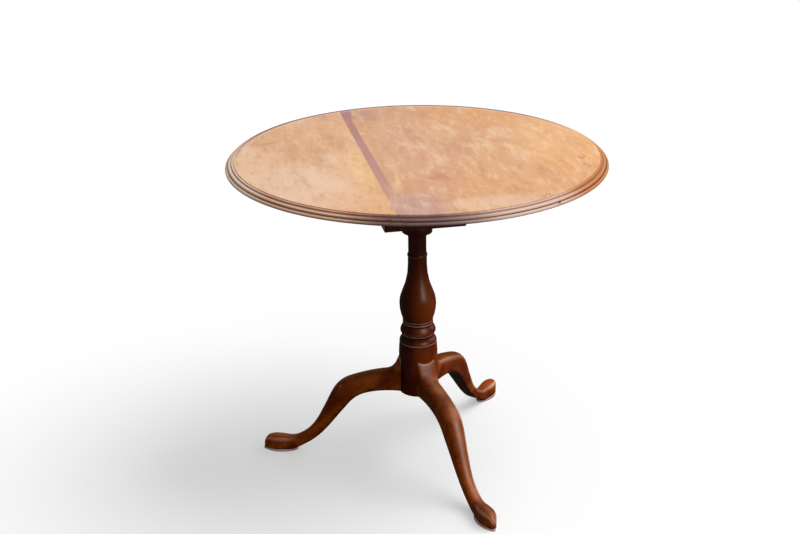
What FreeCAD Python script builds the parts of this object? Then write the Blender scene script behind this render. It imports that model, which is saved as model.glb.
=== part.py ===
import FreeCAD
import Part
import Sketcher
import math
import os

# Driving dimensions, piece by piece: millimetres, and degrees for the one angle.
DIMENSIONS = {
    # Top: two boards with a moulded edge that steps down and out from the field.
    "table_height": 720,
    "top_radius": 400,
    "top_thickness": 20,
    "joint_offset": 107,
    "edge_step": 2,
    "edge_fillet": 4.2,
    "edge_cove": 3.6,
    "edge_bead": 4.2,
    "edge_quirk": 1,
    "edge_ovolo": 5,
    "edge_lip": 0.6,
    "edge_bevel": 9,
    "overrun": 1,
    # Cleats across the grain under the top, with their screws.
    "cleat_length": 560,
    "cleat_width": 30,
    "cleat_depth": 30,
    "cleat_end_depth": 12,
    "cleat_taper": 110,
    "cleat_taper_curve": 420,
    "cleat_gap": 0.6,
    "screw_start": 250,
    "screw_pitch": 118,
    "screw_length": 26,
    "screw_bite": 12,
    "screw_radius": 2.4,
    "screw_head_radius": 4.6,
    "screw_head_height": 2.4,
    "screw_slot": 1,
    # Birdcage: two square plates on four balusters.
    "plate_side": 174,
    "plate_thickness": 19,
    "plate_gap": 0.3,
    "plate_round": 2,
    "pintle_radius": 6.5,
    "pintle_length": 26,
    "running_gap": 0.1,
    "glue_gap": 0.1,
    "baluster_height": 82,
    "baluster_inset": 24,
    "baluster_radius": 13,
    "baluster_tenon": 6,
    # Collar and key that hold the cage down on the column.
    "collar_radius": 33,
    "collar_height": 16,
    "collar_round": 3,
    "key_length": 120,
    "key_thickness": 9,
    "key_thick_end": 24,
    "key_thin_end": 16,
    "key_shift": 3,
    "key_round": 2,
    # Column, from the pivot at its head down to the drum.
    "pivot_radius": 9,
    "pivot_depth": 11,
    "pivot_drop": 8,
    "journal_radius": 19,
    "capital_radius": 36,
    "capital_fillet": 5,
    "capital_waist": 33,
    "capital_hollow": 17,
    "capital_depth": 49,
    "neck_top_radius": 19.8,
    "astragal_radius": 21.9,
    "astragal_half": 3.6,
    "neck_radius": 20.8,
    "vase_radius": 40.5,
    "vase_foot_radius": 33,
    "vase_fillet_radius": 33.6,
    "vase_fillet": 4,
    "waist_radius": 33.1,
    "waist_rise": 2,
    "waist_bead": 4,
    "waist_bead_curve": 2.9,
    "waist_height": 3,
    "ring_height": 11.6,
    "ring_radius": 39.1,
    "ring_curve": 30,
    "ring_edge": 4.4,
    "ring_hollow": 3,
    "ring_fillet": 3,
    "ring_fillet_radius": 36.8,
    "groove_radius": 34.3,
    "groove_height": 6.5,
    "shoulder_height": 11.5,
    "shoulder_curve": 13,
    "shoulder_line": 25,
    "shoulder_set": 1.6,
    "drum_radius": 43,
    "drum_rise": 47,
    "drum_lip": 1.5,
    # Legs, with the sliding dovetails that carry them in the drum.
    "leg_azimuth_back": 46,
    "leg_azimuth_left": 164,
    "leg_azimuth_front": 283.4,
    "leg_reach": 360.5,
    "leg_height": 240,
    "leg_width": 43,
    "leg_depth": 48,
    "dovetail_depth": 18,
    "dovetail_mouth": 18,
    "dovetail_root": 25,
    "dovetail_height": 62,
    "dovetail_rise": 2,
    "dovetail_embed": 3,
    "pad_thickness": 4.5,
    "pad_embed": 0.5,
    "pad_centre": 319.4,
    "pad_half_width": 19.5,
    "pad_side_curve": 59,
    "pad_heel_curve": 11,
    "pad_toe_curve": 4.5,
    # Slide bolt under the top and its strike on the upper plate.
    "strike_length": 36,
    "strike_width": 15,
    "strike_thickness": 2,
    "notch_width": 14,
    "notch_depth": 9,
    "notch_height": 7,
    "brass_screw_radius": 1.5,
    "brass_screw_head": 3,
    "brass_screw_head_height": 1.4,
    "brass_screw_length": 10,
    "brass_screw_slot": 0.7,
    "strike_screw_spread": 12,
    "case_start": 92,
    "case_length": 60,
    "case_width": 38,
    "case_plate": 2,
    "housing_inset": 5,
    "housing_length": 44,
    "housing_width": 16,
    "housing_wall": 1.6,
    "case_screw_inset": 8,
    "case_screw_spread": 14,
    "bolt_width": 11,
    "bolt_thickness": 6,
    "bolt_gap": 0.4,
    "bolt_clear": 1,
    "bolt_length": 44,
    "bolt_travel": 7,
    "nose_bevel": 4,
    "knob_place": 32,
    "knob_stem": 2,
    "knob_drop": 14,
    "knob_radius": 6,
}

# Stations along a leg, from inside the drum to the toe: the reach of the middle of the
# section and the rise of its underside above the pad, its tilt in degrees, then its
# depth, width, corner and crown. Corner and crown are radii, in shares of the width.
LEG_STATION_SHARES = (
    (0.100, 0.686, 0, 1.900, 1.000, 0.20, 1.60),
    (0.122, 0.689, 0, 1.590, 1.000, 0.21, 1.50),
    (0.131, 0.690, 0, 1.440, 1.000, 0.23, 1.30),
    (0.143, 0.690, 0, 1.240, 0.990, 0.25, 1.10),
    (0.157, 0.690, 1, 1.090, 0.985, 0.28, 0.92),
    (0.170, 0.690, 2, 1.005, 0.980, 0.30, 0.82),
    (0.220, 0.687, 5, 0.935, 0.970, 0.32, 0.76),
    (0.290, 0.674, 11, 0.896, 0.960, 0.33, 0.72),
    (0.372, 0.639, 22, 0.890, 0.950, 0.34, 0.70),
    (0.428, 0.592, 34, 0.970, 0.930, 0.35, 0.68),
    (0.474, 0.529, 42, 0.990, 0.900, 0.36, 0.66),
    (0.509, 0.459, 50, 0.915, 0.860, 0.36, 0.66),
    (0.542, 0.388, 56, 0.795, 0.800, 0.37, 0.66),
    (0.578, 0.308, 58, 0.705, 0.740, 0.37, 0.66),
    (0.617, 0.228, 54, 0.605, 0.680, 0.38, 0.66),
    (0.656, 0.161, 48, 0.542, 0.640, 0.38, 0.66),
    (0.700, 0.103, 38, 0.510, 0.630, 0.38, 0.66),
    (0.744, 0.061, 26, 0.500, 0.640, 0.38, 0.66),
    (0.789, 0.021, 10, 0.560, 0.650, 0.38, 0.64),
    (0.833, 0.000, 0, 0.646, 0.670, 0.39, 0.60),
    (0.892, 0.000, 0, 0.698, 0.800, 0.39, 0.58),
    (0.944, 0.000, 0, 0.688, 0.680, 0.38, 0.58),
    (0.978, 0.000, 0, 0.563, 0.420, 0.37, 0.60),
    (0.998, 0.000, 0, 0.292, 0.160, 0.36, 0.64),
)

# Places on the column between the vase's foot and the capital's: the widest part of the
# vase, the end of the curve above it and the astragal. The last share is that part of
# the curve's two radii which belongs to the vase.
VASE_WIDEST_SHARE = 0.194
NECK_START_SHARE = 0.682
ASTRAGAL_SHARE = 0.792
VASE_CURVE_SHARE = 0.3

# Half outline of a cage baluster from its foot to its head: shares of the height and
# of the largest radius, with the curve to the next point as a share of that radius.
BALUSTER_SHARES = (
    (0.00, 0.88, 0),
    (0.07, 0.88, 0),
    (0.09, 0.66, 0),
    (0.11, 0.66, 1.55),
    (0.30, 1.00, 2.40),
    (0.52, 0.55, 0),
    (0.56, 0.50, 0),
    (0.58, 0.66, 0.32),
    (0.63, 0.66, 0),
    (0.64, 0.50, 0),
    (0.84, 0.60, 0),
    (0.87, 0.80, 0),
    (0.93, 0.80, 0),
    (0.94, 0.88, 0),
    (1.00, 0.88, 0),
)

# The knob's outline from its shoulder to its foot: shares of the drop and radius.
KNOB_SHARES = ((0.30, 0.45), (0.42, 0.62), (0.58, 0.98), (0.76, 1.00), (0.90, 0.80), (1.00, 0.40))

LEG_SIDES = ("back", "left", "front")
SCREWS_IN_A_ROW = 5
PARALLEL = 1e-6


class Size:
    """A size together with the expression that drives it."""

    def __init__(self, value, text):
        self.value = float(value)
        self.text = text

    def __add__(self, other):
        return join(self, "+", other, lambda a, b: a + b)

    def __radd__(self, other):
        return join(other, "+", self, lambda a, b: a + b)

    def __sub__(self, other):
        return join(self, "-", other, lambda a, b: a - b)

    def __rsub__(self, other):
        return join(other, "-", self, lambda a, b: a - b)

    def __mul__(self, other):
        return join(self, "*", other, lambda a, b: a * b)

    def __rmul__(self, other):
        return join(other, "*", self, lambda a, b: a * b)

    def __truediv__(self, other):
        return join(self, "/", other, lambda a, b: a / b)

    def __neg__(self):
        return Size(-self.value, f"(-{self.text})")


def as_size(number):
    """A plain share, count or zero as a Size."""
    if isinstance(number, Size):
        return number
    return Size(number, f"({float(number)!r})")


def join(left, sign, right, action):
    left = as_size(left)
    right = as_size(right)
    return Size(action(left.value, right.value), f"({left.text} {sign} {right.text})")


def root(size):
    return Size(math.sqrt(size.value), f"sqrt({size.text})")


doc = FreeCAD.newDocument("TeaTable")
sheet = doc.addObject("Spreadsheet::Sheet", "Dims")
for row, (alias, value) in enumerate(DIMENSIONS.items(), 1):
    sheet.set(f"A{row}", alias)
    sheet.set(f"B{row}", str(value))
    sheet.setAlias(f"B{row}", alias)
doc.recompute()


def dim(alias):
    return Size(sheet.get(alias), f"Dims.{alias}")


ZERO = as_size(0)
bodies = []


def new_body(label):
    body = doc.addObject("PartDesign::Body", label)
    body.Label = label
    body.AllowCompound = True
    bodies.append(body)
    return body


def origin_plane(body, role):
    return [item for item in body.Origin.OriginFeatures if item.Role == role][0]


def place(item, path, x=ZERO, y=ZERO, z=ZERO):
    """Binds the base of a placement to three sizes."""
    for axis, size in (("x", x), ("y", y), ("z", z)):
        item.setExpression(f"{path}.Base.{axis}", size.text)


def new_sketch(body, role, x=ZERO, y=ZERO, z=ZERO, turn=None):
    """A sketch on one of the body's own planes, moved in that plane's directions."""
    sketch = body.newObject("Sketcher::SketchObject", f"{body.Label}_sketch")
    sketch.AttachmentSupport = [(origin_plane(body, role), "")]
    sketch.MapMode = "FlatFace"
    base = FreeCAD.Vector(x.value, y.value, z.value)
    sketch.AttachmentOffset = FreeCAD.Placement(base, turn or FreeCAD.Rotation())
    place(sketch, "AttachmentOffset", x, y, z)
    return sketch


def fix(sketch, kind, geometry, point, size):
    """One coordinate or radius in a sketch, bound to its size."""
    if kind == "Radius":
        index = sketch.addConstraint(Sketcher.Constraint(kind, geometry, size.value))
    else:
        index = sketch.addConstraint(Sketcher.Constraint(kind, geometry, point, size.value))
    sketch.setExpression(f"Constraints[{index}]", size.text)


def arc_between(start, end, radius, left):
    """The minor arc from start to end that turns left or right."""
    chord = end - start
    half = chord.Length / 2
    lift = math.sqrt(max(radius * radius - half * half, 0))
    normal = FreeCAD.Vector(-chord.y, chord.x, 0).normalize()
    centre = (start + end) / 2 + normal * (lift if left else -lift)
    first, last = (start, end) if left else (end, start)
    angles = [math.atan2(p.y - centre.y, p.x - centre.x) for p in (first, last)]
    circle = Part.Circle(centre, FreeCAD.Vector(0, 0, 1), radius)
    return Part.ArcOfCircle(circle, angles[0], angles[1])


def outline(sketch, points):
    """A closed outline of (x, y) points. A third entry, a signed radius, bends the edge
    that follows: an arc to the left where it is positive, to the right where negative."""
    corners = [FreeCAD.Vector(as_size(p[0]).value, as_size(p[1]).value, 0) for p in points]
    ends = []
    for index, point in enumerate(points):
        start = corners[index]
        end = corners[(index + 1) % len(points)]
        bend = point[2] if len(point) > 2 else None
        if bend is None:
            edge = sketch.addGeometry(Part.LineSegment(start, end))
            ends.append((edge, 1, 2))
        else:
            left = bend.value > 0
            edge = sketch.addGeometry(arc_between(start, end, abs(bend.value), left))
            ends.append((edge, 1, 2) if left else (edge, 2, 1))
    for index, (edge, first, last) in enumerate(ends):
        follower = ends[(index + 1) % len(ends)]
        sketch.addConstraint(Sketcher.Constraint("Coincident", edge, last, follower[0], follower[1]))
    for (edge, first, last), point in zip(ends, points):
        for kind, size, axis in (("DistanceX", as_size(point[0]), -2), ("DistanceY", as_size(point[1]), -1)):
            if size.value == 0:
                sketch.addConstraint(Sketcher.Constraint("PointOnObject", edge, first, axis))
            else:
                fix(sketch, kind, edge, first, size)
        if len(point) > 2 and point[2] is not None:
            bend = point[2]
            fix(sketch, "Radius", edge, 0, bend if bend.value > 0 else -bend)


def rectangle(sketch, left, right, low, high):
    outline(sketch, [(left, low), (right, low), (right, high), (left, high)])


def circles(sketch, centres, radius):
    """One circle of the same radius at each centre."""
    for x, y in centres:
        middle = FreeCAD.Vector(x.value, y.value, 0)
        index = sketch.addGeometry(Part.Circle(middle, FreeCAD.Vector(0, 0, 1), radius.value))
        fix(sketch, "Radius", index, 0, radius)
        for kind, size, axis in (("DistanceX", x, -2), ("DistanceY", y, -1)):
            if size.value == 0:
                sketch.addConstraint(Sketcher.Constraint("PointOnObject", index, 3, axis))
            else:
                fix(sketch, kind, index, 3, size)


def feature(body, kind, profile):
    item = body.newObject(f"PartDesign::{kind}", f"{body.Label}_{kind.lower()}")
    item.Profile = profile
    profile.Visibility = False
    return item


def pad(body, sketch, length, midplane=False, reverse=False):
    item = feature(body, "Pad", sketch)
    item.SideType = "Symmetric" if midplane else "One side"
    item.Reversed = reverse
    item.setExpression("Length", length.text)
    return item


def pocket(body, sketch, length, midplane=False, reverse=False):
    item = feature(body, "Pocket", sketch)
    item.SideType = "Symmetric" if midplane else "One side"
    item.Reversed = reverse
    item.setExpression("Length", length.text)
    return item


def turned(body, sketch, kind="Revolution"):
    """A full turn of the sketch about its own vertical axis."""
    item = feature(body, kind, sketch)
    item.ReferenceAxis = (sketch, ["V_Axis"])
    item.Angle = 360
    return item


def edges_where(shape, test):
    return [f"Edge{n}" for n, edge in enumerate(shape.Edges, 1) if test(edge)]


def rounded(body, test, radius, kind="Fillet"):
    """Rounds or chamfers every edge that passes the test."""
    doc.recompute()
    base = body.Tip
    item = body.newObject(f"PartDesign::{kind}", f"{body.Label}_{kind.lower()}")
    item.Base = (base, edges_where(base.Shape, test))
    item.setExpression("Radius" if kind == "Fillet" else "Size", radius.text)
    return item


def runs_along(edge, axis):
    """True for a straight edge along x, y or z."""
    if not isinstance(edge.Curve, Part.Line):
        return False
    direction = edge.Curve.Direction
    return all(abs(getattr(direction, other)) < PARALLEL for other in "xyz" if other != axis)


# Levels and places that several pieces share.
table_height = dim("table_height")
underside = table_height - dim("top_thickness")
half_side = dim("plate_side") / 2
plate = dim("plate_thickness")
upper_top = underside - dim("plate_gap")
upper_bottom = upper_top - plate
lower_top = upper_bottom - dim("baluster_height")
lower_bottom = lower_top - plate
hinge_x = plate / 2 - half_side
hinge_z = upper_bottom + plate / 2
gap = dim("glue_gap")
running = dim("running_gap")
cleat_y = half_side + dim("cleat_gap") + dim("cleat_width") / 2
screw_xs = [n * dim("screw_pitch") - dim("screw_start") for n in range(SCREWS_IN_A_ROW)]
screw_head_z = underside + dim("screw_bite") - dim("screw_length")
case_middle = dim("case_start") + dim("case_length") / 2
case_screws = [
    (case_middle + side * (dim("case_length") / 2 - dim("case_screw_inset")), row * dim("case_screw_spread"))
    for side in (-1, 1)
    for row in (-1, 1)
]


def make_board(label, keeps_left):
    """One board of the top: the moulded disc cut off at the joint."""
    body = new_body(label)
    radius = dim("top_radius")
    rings = ("edge_ovolo", "edge_bead", "edge_cove", "edge_fillet")
    ovolo, bead, cove, fillet = [dim(name) for name in rings]
    quirk = dim("edge_quirk")
    quirk_x = radius - ovolo
    bead_x = quirk_x - quirk
    cove_x = bead_x - bead
    fillet_x = cove_x - cove
    field_x = fillet_x - fillet
    step_z = table_height - dim("edge_step")
    cove_z = step_z - cove
    bead_z = cove_z - bead
    quirk_z = bead_z - quirk
    ovolo_z = quirk_z - ovolo
    profile = new_sketch(body, "XZ_Plane")
    outline(profile, [
        (ZERO, underside),
        (radius - dim("edge_bevel"), underside),
        (radius, ovolo_z - dim("edge_lip")),
        (radius, ovolo_z, ovolo),
        (quirk_x, quirk_z),
        (bead_x, quirk_z),
        (bead_x, bead_z, bead),
        (cove_x, cove_z, -cove),
        (fillet_x, step_z),
        (field_x, step_z),
        (field_x, table_height),
        (ZERO, table_height),
    ])
    turned(body, profile)
    cut = new_sketch(body, "XY_Plane", z=underside)
    joint = -dim("joint_offset")
    beyond = radius + dim("overrun")
    if keeps_left:
        rectangle(cut, joint, beyond, -beyond, beyond)
    else:
        rectangle(cut, -beyond, joint, -beyond, beyond)
    pocket(body, cut, dim("top_thickness"), reverse=True)
    places = [x for x in screw_xs if (x.value < joint.value) == keeps_left]
    holes = new_sketch(body, "XY_Plane", z=underside)
    circles(holes, [(x, side * cleat_y) for x in places for side in (-1, 1)], dim("screw_radius") + gap)
    pocket(body, holes, dim("screw_bite") + gap, reverse=True)
    if not keeps_left:
        pilots = new_sketch(body, "XY_Plane", z=underside)
        circles(pilots, case_screws, dim("brass_screw_radius") + gap)
        pocket(body, pilots, dim("brass_screw_length") - dim("case_plate") + gap, reverse=True)


def make_cleat(label, side):
    """A bearer that thins to both ends, bored for the pintle and for its screws."""
    body = new_body(label)
    half = dim("cleat_length") / 2
    inner = half - dim("cleat_taper")
    bottom = -dim("cleat_depth")
    end = -dim("cleat_end_depth")
    bend = dim("cleat_taper_curve")
    profile = new_sketch(body, "XZ_Plane", y=underside)
    outline(profile, [
        (-half, ZERO),
        (-half, end, -bend),
        (-inner, bottom),
        (inner, bottom, -bend),
        (half, end),
        (half, ZERO),
    ])
    pad(body, profile, dim("cleat_width"), midplane=True)
    pivot = new_sketch(body, "XZ_Plane")
    circles(pivot, [(hinge_x, hinge_z)], dim("pintle_radius") + running)
    pocket(body, pivot, dim("cleat_width"), midplane=True)
    shafts = new_sketch(body, "XY_Plane", z=underside)
    circles(shafts, [(x, ZERO) for x in screw_xs], dim("screw_radius") + gap)
    pocket(body, shafts, dim("cleat_depth"))
    wells = new_sketch(body, "XY_Plane", z=screw_head_z + dim("screw_head_height"))
    circles(wells, [(x, ZERO) for x in screw_xs], dim("screw_head_radius") + gap)
    pocket(body, wells, dim("cleat_depth"))
    place(body, "Placement", y=side * cleat_y)


def make_screws(label, centres, length, radius, head, head_height, slot, head_z, reach_up):
    """Slotted screws as one group of separate solids. The heads lie at head_z and the
    shanks run up from them, or down where reach_up is false."""
    body = new_body(label)
    heads = new_sketch(body, "XY_Plane", z=head_z)
    circles(heads, centres, head)
    pad(body, heads, head_height, reverse=not reach_up)
    shanks = new_sketch(body, "XY_Plane", z=head_z)
    circles(shanks, centres, radius)
    pad(body, shanks, length, reverse=not reach_up)
    slots = new_sketch(body, "XY_Plane", z=head_z)
    for x, y in centres:
        rectangle(slots, x - head, x + head, y - slot / 2, y + slot / 2)
    pocket(body, slots, head_height / 2, reverse=reach_up)


def make_upper_plate():
    """The plate that the top turns on: a rounded hinge edge, two pintles, a seat for the
    strike with a notch for the bolt, tenon holes and the column's pivot hole."""
    body = new_body("cage_upper_plate")
    profile = new_sketch(body, "XZ_Plane")
    nose = plate / 2
    outline(profile, [
        (hinge_x, upper_bottom),
        (half_side, upper_bottom),
        (half_side, upper_top),
        (hinge_x, upper_top, nose),
        (hinge_x - nose, hinge_z, nose),
    ])
    pad(body, profile, dim("plate_side"), midplane=True)
    pintles = new_sketch(body, "XZ_Plane")
    circles(pintles, [(hinge_x, hinge_z)], dim("pintle_radius"))
    pad(body, pintles, dim("plate_side") + dim("pintle_length") * 2, midplane=True)
    tenons = new_sketch(body, "XY_Plane", z=upper_bottom)
    circles(tenons, baluster_places(), dim("baluster_tenon") + gap)
    pocket(body, tenons, plate, reverse=True)
    pivot = new_sketch(body, "XY_Plane", z=upper_bottom)
    circles(pivot, [(ZERO, ZERO)], dim("pivot_radius") + running)
    pocket(body, pivot, dim("pivot_depth") + running, reverse=True)
    seat = new_sketch(body, "XY_Plane", z=upper_top)
    reach = dim("strike_length") / 2 + gap
    rectangle(seat, half_side - dim("strike_width") - gap, half_side, -reach, reach)
    pocket(body, seat, dim("strike_thickness"))
    notch = new_sketch(body, "XY_Plane", z=upper_top - dim("strike_thickness"))
    reach = dim("notch_width") / 2
    rectangle(notch, half_side - dim("notch_depth"), half_side, -reach, reach)
    pocket(body, notch, dim("notch_height"))
    pilots = new_sketch(body, "XY_Plane", z=upper_top)
    circles(pilots, strike_screws, dim("brass_screw_radius") + gap)
    pocket(body, pilots, dim("brass_screw_length") + gap)


def baluster_places():
    middle = half_side - dim("baluster_inset")
    return [(x * middle, y * middle) for x, y in ((-1, -1), (1, -1), (1, 1), (-1, 1))]


def make_lower_plate():
    """The plate that rests on the capital and turns about the journal."""
    body = new_body("cage_lower_plate")
    slab = new_sketch(body, "XY_Plane", z=lower_bottom)
    rectangle(slab, -half_side, half_side, -half_side, half_side)
    pad(body, slab, plate)
    rounded(body, lambda edge: runs_along(edge, "z"), dim("plate_round"))
    holes = new_sketch(body, "XY_Plane", z=lower_bottom)
    circles(holes, baluster_places(), dim("baluster_tenon") + gap)
    pocket(body, holes, plate, reverse=True)
    journal = new_sketch(body, "XY_Plane", z=lower_bottom)
    circles(journal, [(ZERO, ZERO)], dim("journal_radius") + running)
    pocket(body, journal, plate, reverse=True)


def make_baluster(number, x, y):
    """A turned baluster with a through tenon at each end."""
    body = new_body(f"cage_baluster_{number}")
    profile = new_sketch(body, "XZ_Plane")
    height = dim("baluster_height")
    widest = dim("baluster_radius")
    tenon = dim("baluster_tenon")
    points = [(ZERO, lower_bottom), (tenon, lower_bottom), (tenon, lower_top)]
    for height_share, radius_share, curve_share in BALUSTER_SHARES:
        point = (radius_share * widest, lower_top + height_share * height)
        points.append(point + (curve_share * widest,) if curve_share else point)
    points += [(tenon, upper_bottom), (tenon, upper_top), (ZERO, upper_top)]
    outline(profile, points)
    turned(body, profile)
    place(body, "Placement", x=x, y=y)


def make_collar():
    """The loose ring between the lower plate and the key."""
    body = new_body("collar")
    profile = new_sketch(body, "XZ_Plane")
    bore = dim("journal_radius") + running
    ring = dim("collar_radius")
    top = lower_top + dim("collar_height")
    bend = dim("collar_round")
    outline(profile, [
        (bore, lower_top),
        (ring - bend, lower_top, bend),
        (ring, lower_top + bend),
        (ring, top - bend, bend),
        (ring - bend, top),
        (bore, top),
    ])
    turned(body, profile)


def leg_underside(rise_share):
    """Height of a leg's underside where it has that share of the leg's rise above its pad."""
    sole = dim("pad_thickness") - dim("pad_embed")
    return sole + rise_share * (dim("leg_height") - sole)


def arc_radius(sideways, along):
    """Radius of an arc, or the sum of two, that starts upright and moves so far over."""
    return (sideways * sideways + along * along) / (sideways * 2)


FIRST_RISE_SHARE = LEG_STATION_SHARES[1][1]
drum_bottom = leg_underside(FIRST_RISE_SHARE) - dim("drum_lip")
key_bottom = lower_top + dim("collar_height")
key_slope = (dim("key_thick_end") - dim("key_thin_end")) / dim("key_length")


def key_top(y):
    """Height of the key's upper face at a place along it."""
    middle = (dim("key_thick_end") + dim("key_thin_end")) / 2
    return key_bottom + middle - key_slope * (y + dim("key_shift"))


def make_key():
    """The wedge-shaped key, thick end to the front."""
    body = new_body("cage_key")
    front = -dim("key_length") / 2 - dim("key_shift")
    back = dim("key_length") / 2 - dim("key_shift")
    profile = new_sketch(body, "YZ_Plane")
    outline(profile, [
        (front, key_bottom),
        (back, key_bottom),
        (back, key_top(back)),
        (front, key_top(front)),
    ])
    pad(body, profile, dim("key_thickness"), midplane=True)
    rounded(body, lambda edge: runs_along(edge, "z"), dim("key_round"))


def make_column():
    """The turned column, with the key's mortise and three dovetail sockets."""
    body = new_body("column")
    pivot = dim("pivot_radius")
    journal = dim("journal_radius")
    journal_top = upper_bottom - dim("pivot_drop")
    capital_foot = lower_bottom - dim("capital_depth")
    waist = dim("capital_waist")
    neck_top = dim("neck_top_radius")
    neck = dim("neck_radius")
    ovolo = waist - neck_top
    hollow = dim("capital_hollow")
    fillet_z = lower_bottom - dim("capital_fillet")
    shoulder_z = dim("leg_height") + dim("drum_rise")
    groove_z = shoulder_z + dim("shoulder_height")
    hollow_z = groove_z + dim("groove_height")
    under_z = hollow_z + dim("ring_fillet")
    rim_z = under_z + dim("ring_hollow")
    ring_z = rim_z + dim("ring_edge")
    waist_z = ring_z + dim("ring_height")
    round_z = waist_z + dim("waist_height")
    rise_z = round_z + dim("waist_bead")
    vase_fillet_z = rise_z + dim("waist_rise")
    foot_z = vase_fillet_z + dim("vase_fillet")
    length = capital_foot - foot_z
    vase_z = foot_z + VASE_WIDEST_SHARE * length
    neck_z = foot_z + NECK_START_SHARE * length
    astragal_z = foot_z + ASTRAGAL_SHARE * length
    bead = dim("astragal_half")
    vase = dim("vase_radius")
    foot = dim("vase_foot_radius")
    curves = arc_radius(vase - neck, neck_z - vase_z)
    meet_x = vase - VASE_CURVE_SHARE * (vase - neck)
    meet_z = vase_z + VASE_CURVE_SHARE * (neck_z - vase_z)
    drum = dim("drum_radius")
    ring = dim("ring_radius")
    under = dim("ring_fillet_radius")
    groove = dim("groove_radius")
    narrow = dim("waist_radius")
    band = dim("vase_fillet_radius")
    profile = new_sketch(body, "XZ_Plane")
    outline(profile, [
        (ZERO, drum_bottom),
        (drum, drum_bottom),
        (drum, shoulder_z - dim("shoulder_line")),
        (drum - dim("shoulder_set"), shoulder_z, dim("shoulder_curve")),
        (groove, groove_z),
        (groove, hollow_z),
        (under, hollow_z),
        (under, under_z),
        (ring, rim_z),
        (ring, ring_z, dim("ring_curve")),
        (narrow, waist_z),
        (narrow, round_z, dim("waist_bead_curve")),
        (narrow, rise_z),
        (narrow, vase_fillet_z),
        (band, vase_fillet_z),
        (band, foot_z),
        (foot, foot_z, arc_radius(vase - foot, vase_z - foot_z)),
        (vase, vase_z, VASE_CURVE_SHARE * curves),
        (meet_x, meet_z, (VASE_CURVE_SHARE - 1) * curves),
        (neck, neck_z),
        (neck, astragal_z - bead, bead),
        (dim("astragal_radius"), astragal_z, bead),
        (neck_top, astragal_z + bead),
        (neck_top, capital_foot, -ovolo),
        (waist, capital_foot + ovolo),
        (waist, fillet_z - hollow, -hollow),
        (dim("capital_radius"), fillet_z),
        (dim("capital_radius"), lower_bottom),
        (journal, lower_bottom),
        (journal, journal_top),
        (pivot, journal_top),
        (pivot, upper_bottom + dim("pivot_depth")),
        (ZERO, upper_bottom + dim("pivot_depth")),
    ])
    turned(body, profile)
    mortise = new_sketch(body, "YZ_Plane")
    beyond = journal + dim("overrun")
    sill = key_bottom - dim("collar_height") / 2
    outline(mortise, [
        (-beyond, sill),
        (beyond, sill),
        (beyond, key_top(beyond) + gap),
        (-beyond, key_top(-beyond) + gap),
    ])
    pocket(body, mortise, dim("key_thickness") + gap * 2, midplane=True)
    for side in LEG_SIDES:
        turn = FreeCAD.Rotation(FreeCAD.Vector(0, 0, 1), dim(f"leg_azimuth_{side}").value)
        socket = new_sketch(body, "XY_Plane", z=drum_bottom, turn=turn)
        socket.setExpression("AttachmentOffset.Rotation.Angle", f"Dims.leg_azimuth_{side}")
        dovetail(socket, gap)
        pocket(body, socket, dim("dovetail_height") + gap, reverse=True)


def dovetail(sketch, slack):
    """The dovetail in plan, narrow at the drum's face and wide at its root."""
    root_x = dim("drum_radius") - dim("dovetail_depth") - slack
    mouth_x = dim("drum_radius") + dim("dovetail_embed")
    root_y = dim("dovetail_root") / 2 + slack
    mouth_y = dim("dovetail_mouth") / 2 + slack
    outline(sketch, [(root_x, -root_y), (mouth_x, -mouth_y), (mouth_x, mouth_y), (root_x, root_y)])


def leg_section(body, reach_share, rise_share, tilt, depth_share, width_share, corner_share, crown_share):
    """A section across the leg: flat underside, upright sides and a crowned top."""
    turn = FreeCAD.Rotation(FreeCAD.Vector(1, 0, 0), tilt)
    high = depth_share * dim("leg_depth") / 2
    low = -high
    sketch = new_sketch(
        body,
        "YZ_Plane",
        y=leg_underside(rise_share) + high,
        z=reach_share * dim("leg_reach"),
        turn=turn,
    )
    half = width_share * dim("leg_width") / 2
    corner = corner_share * width_share * dim("leg_width")
    crown = crown_share * width_share * dim("leg_width")
    crown_y = high - crown
    reach = crown - corner
    side = half - corner
    corner_y = crown_y + root(reach * reach - side * side)
    touch_x = side * crown / reach
    touch_y = crown_y + (corner_y - crown_y) * crown / reach
    outline(sketch, [
        (-half, low),
        (half, low),
        (half, corner_y, corner),
        (touch_x, touch_y, crown),
        (-touch_x, touch_y, corner),
        (-half, corner_y),
    ])
    return sketch


def pad_outline(sketch):
    """The pad in plan: a leaf of four arcs that run smoothly into each other."""
    side = dim("pad_side_curve")
    middle = dim("pad_centre")
    drop = side - dim("pad_half_width")
    touches = []
    for curve, way in ((dim("pad_toe_curve"), 1), (dim("pad_heel_curve"), -1)):
        reach = side - curve
        run = root(reach * reach - drop * drop)
        touches.append((middle + way * (run + run * curve / reach), drop * curve / reach, curve))
    (toe_x, toe_y, toe), (heel_x, heel_y, heel) = touches
    outline(sketch, [
        (toe_x, -toe_y, toe),
        (toe_x, toe_y, side),
        (heel_x, heel_y, heel),
        (heel_x, -heel_y, side),
    ])


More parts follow.
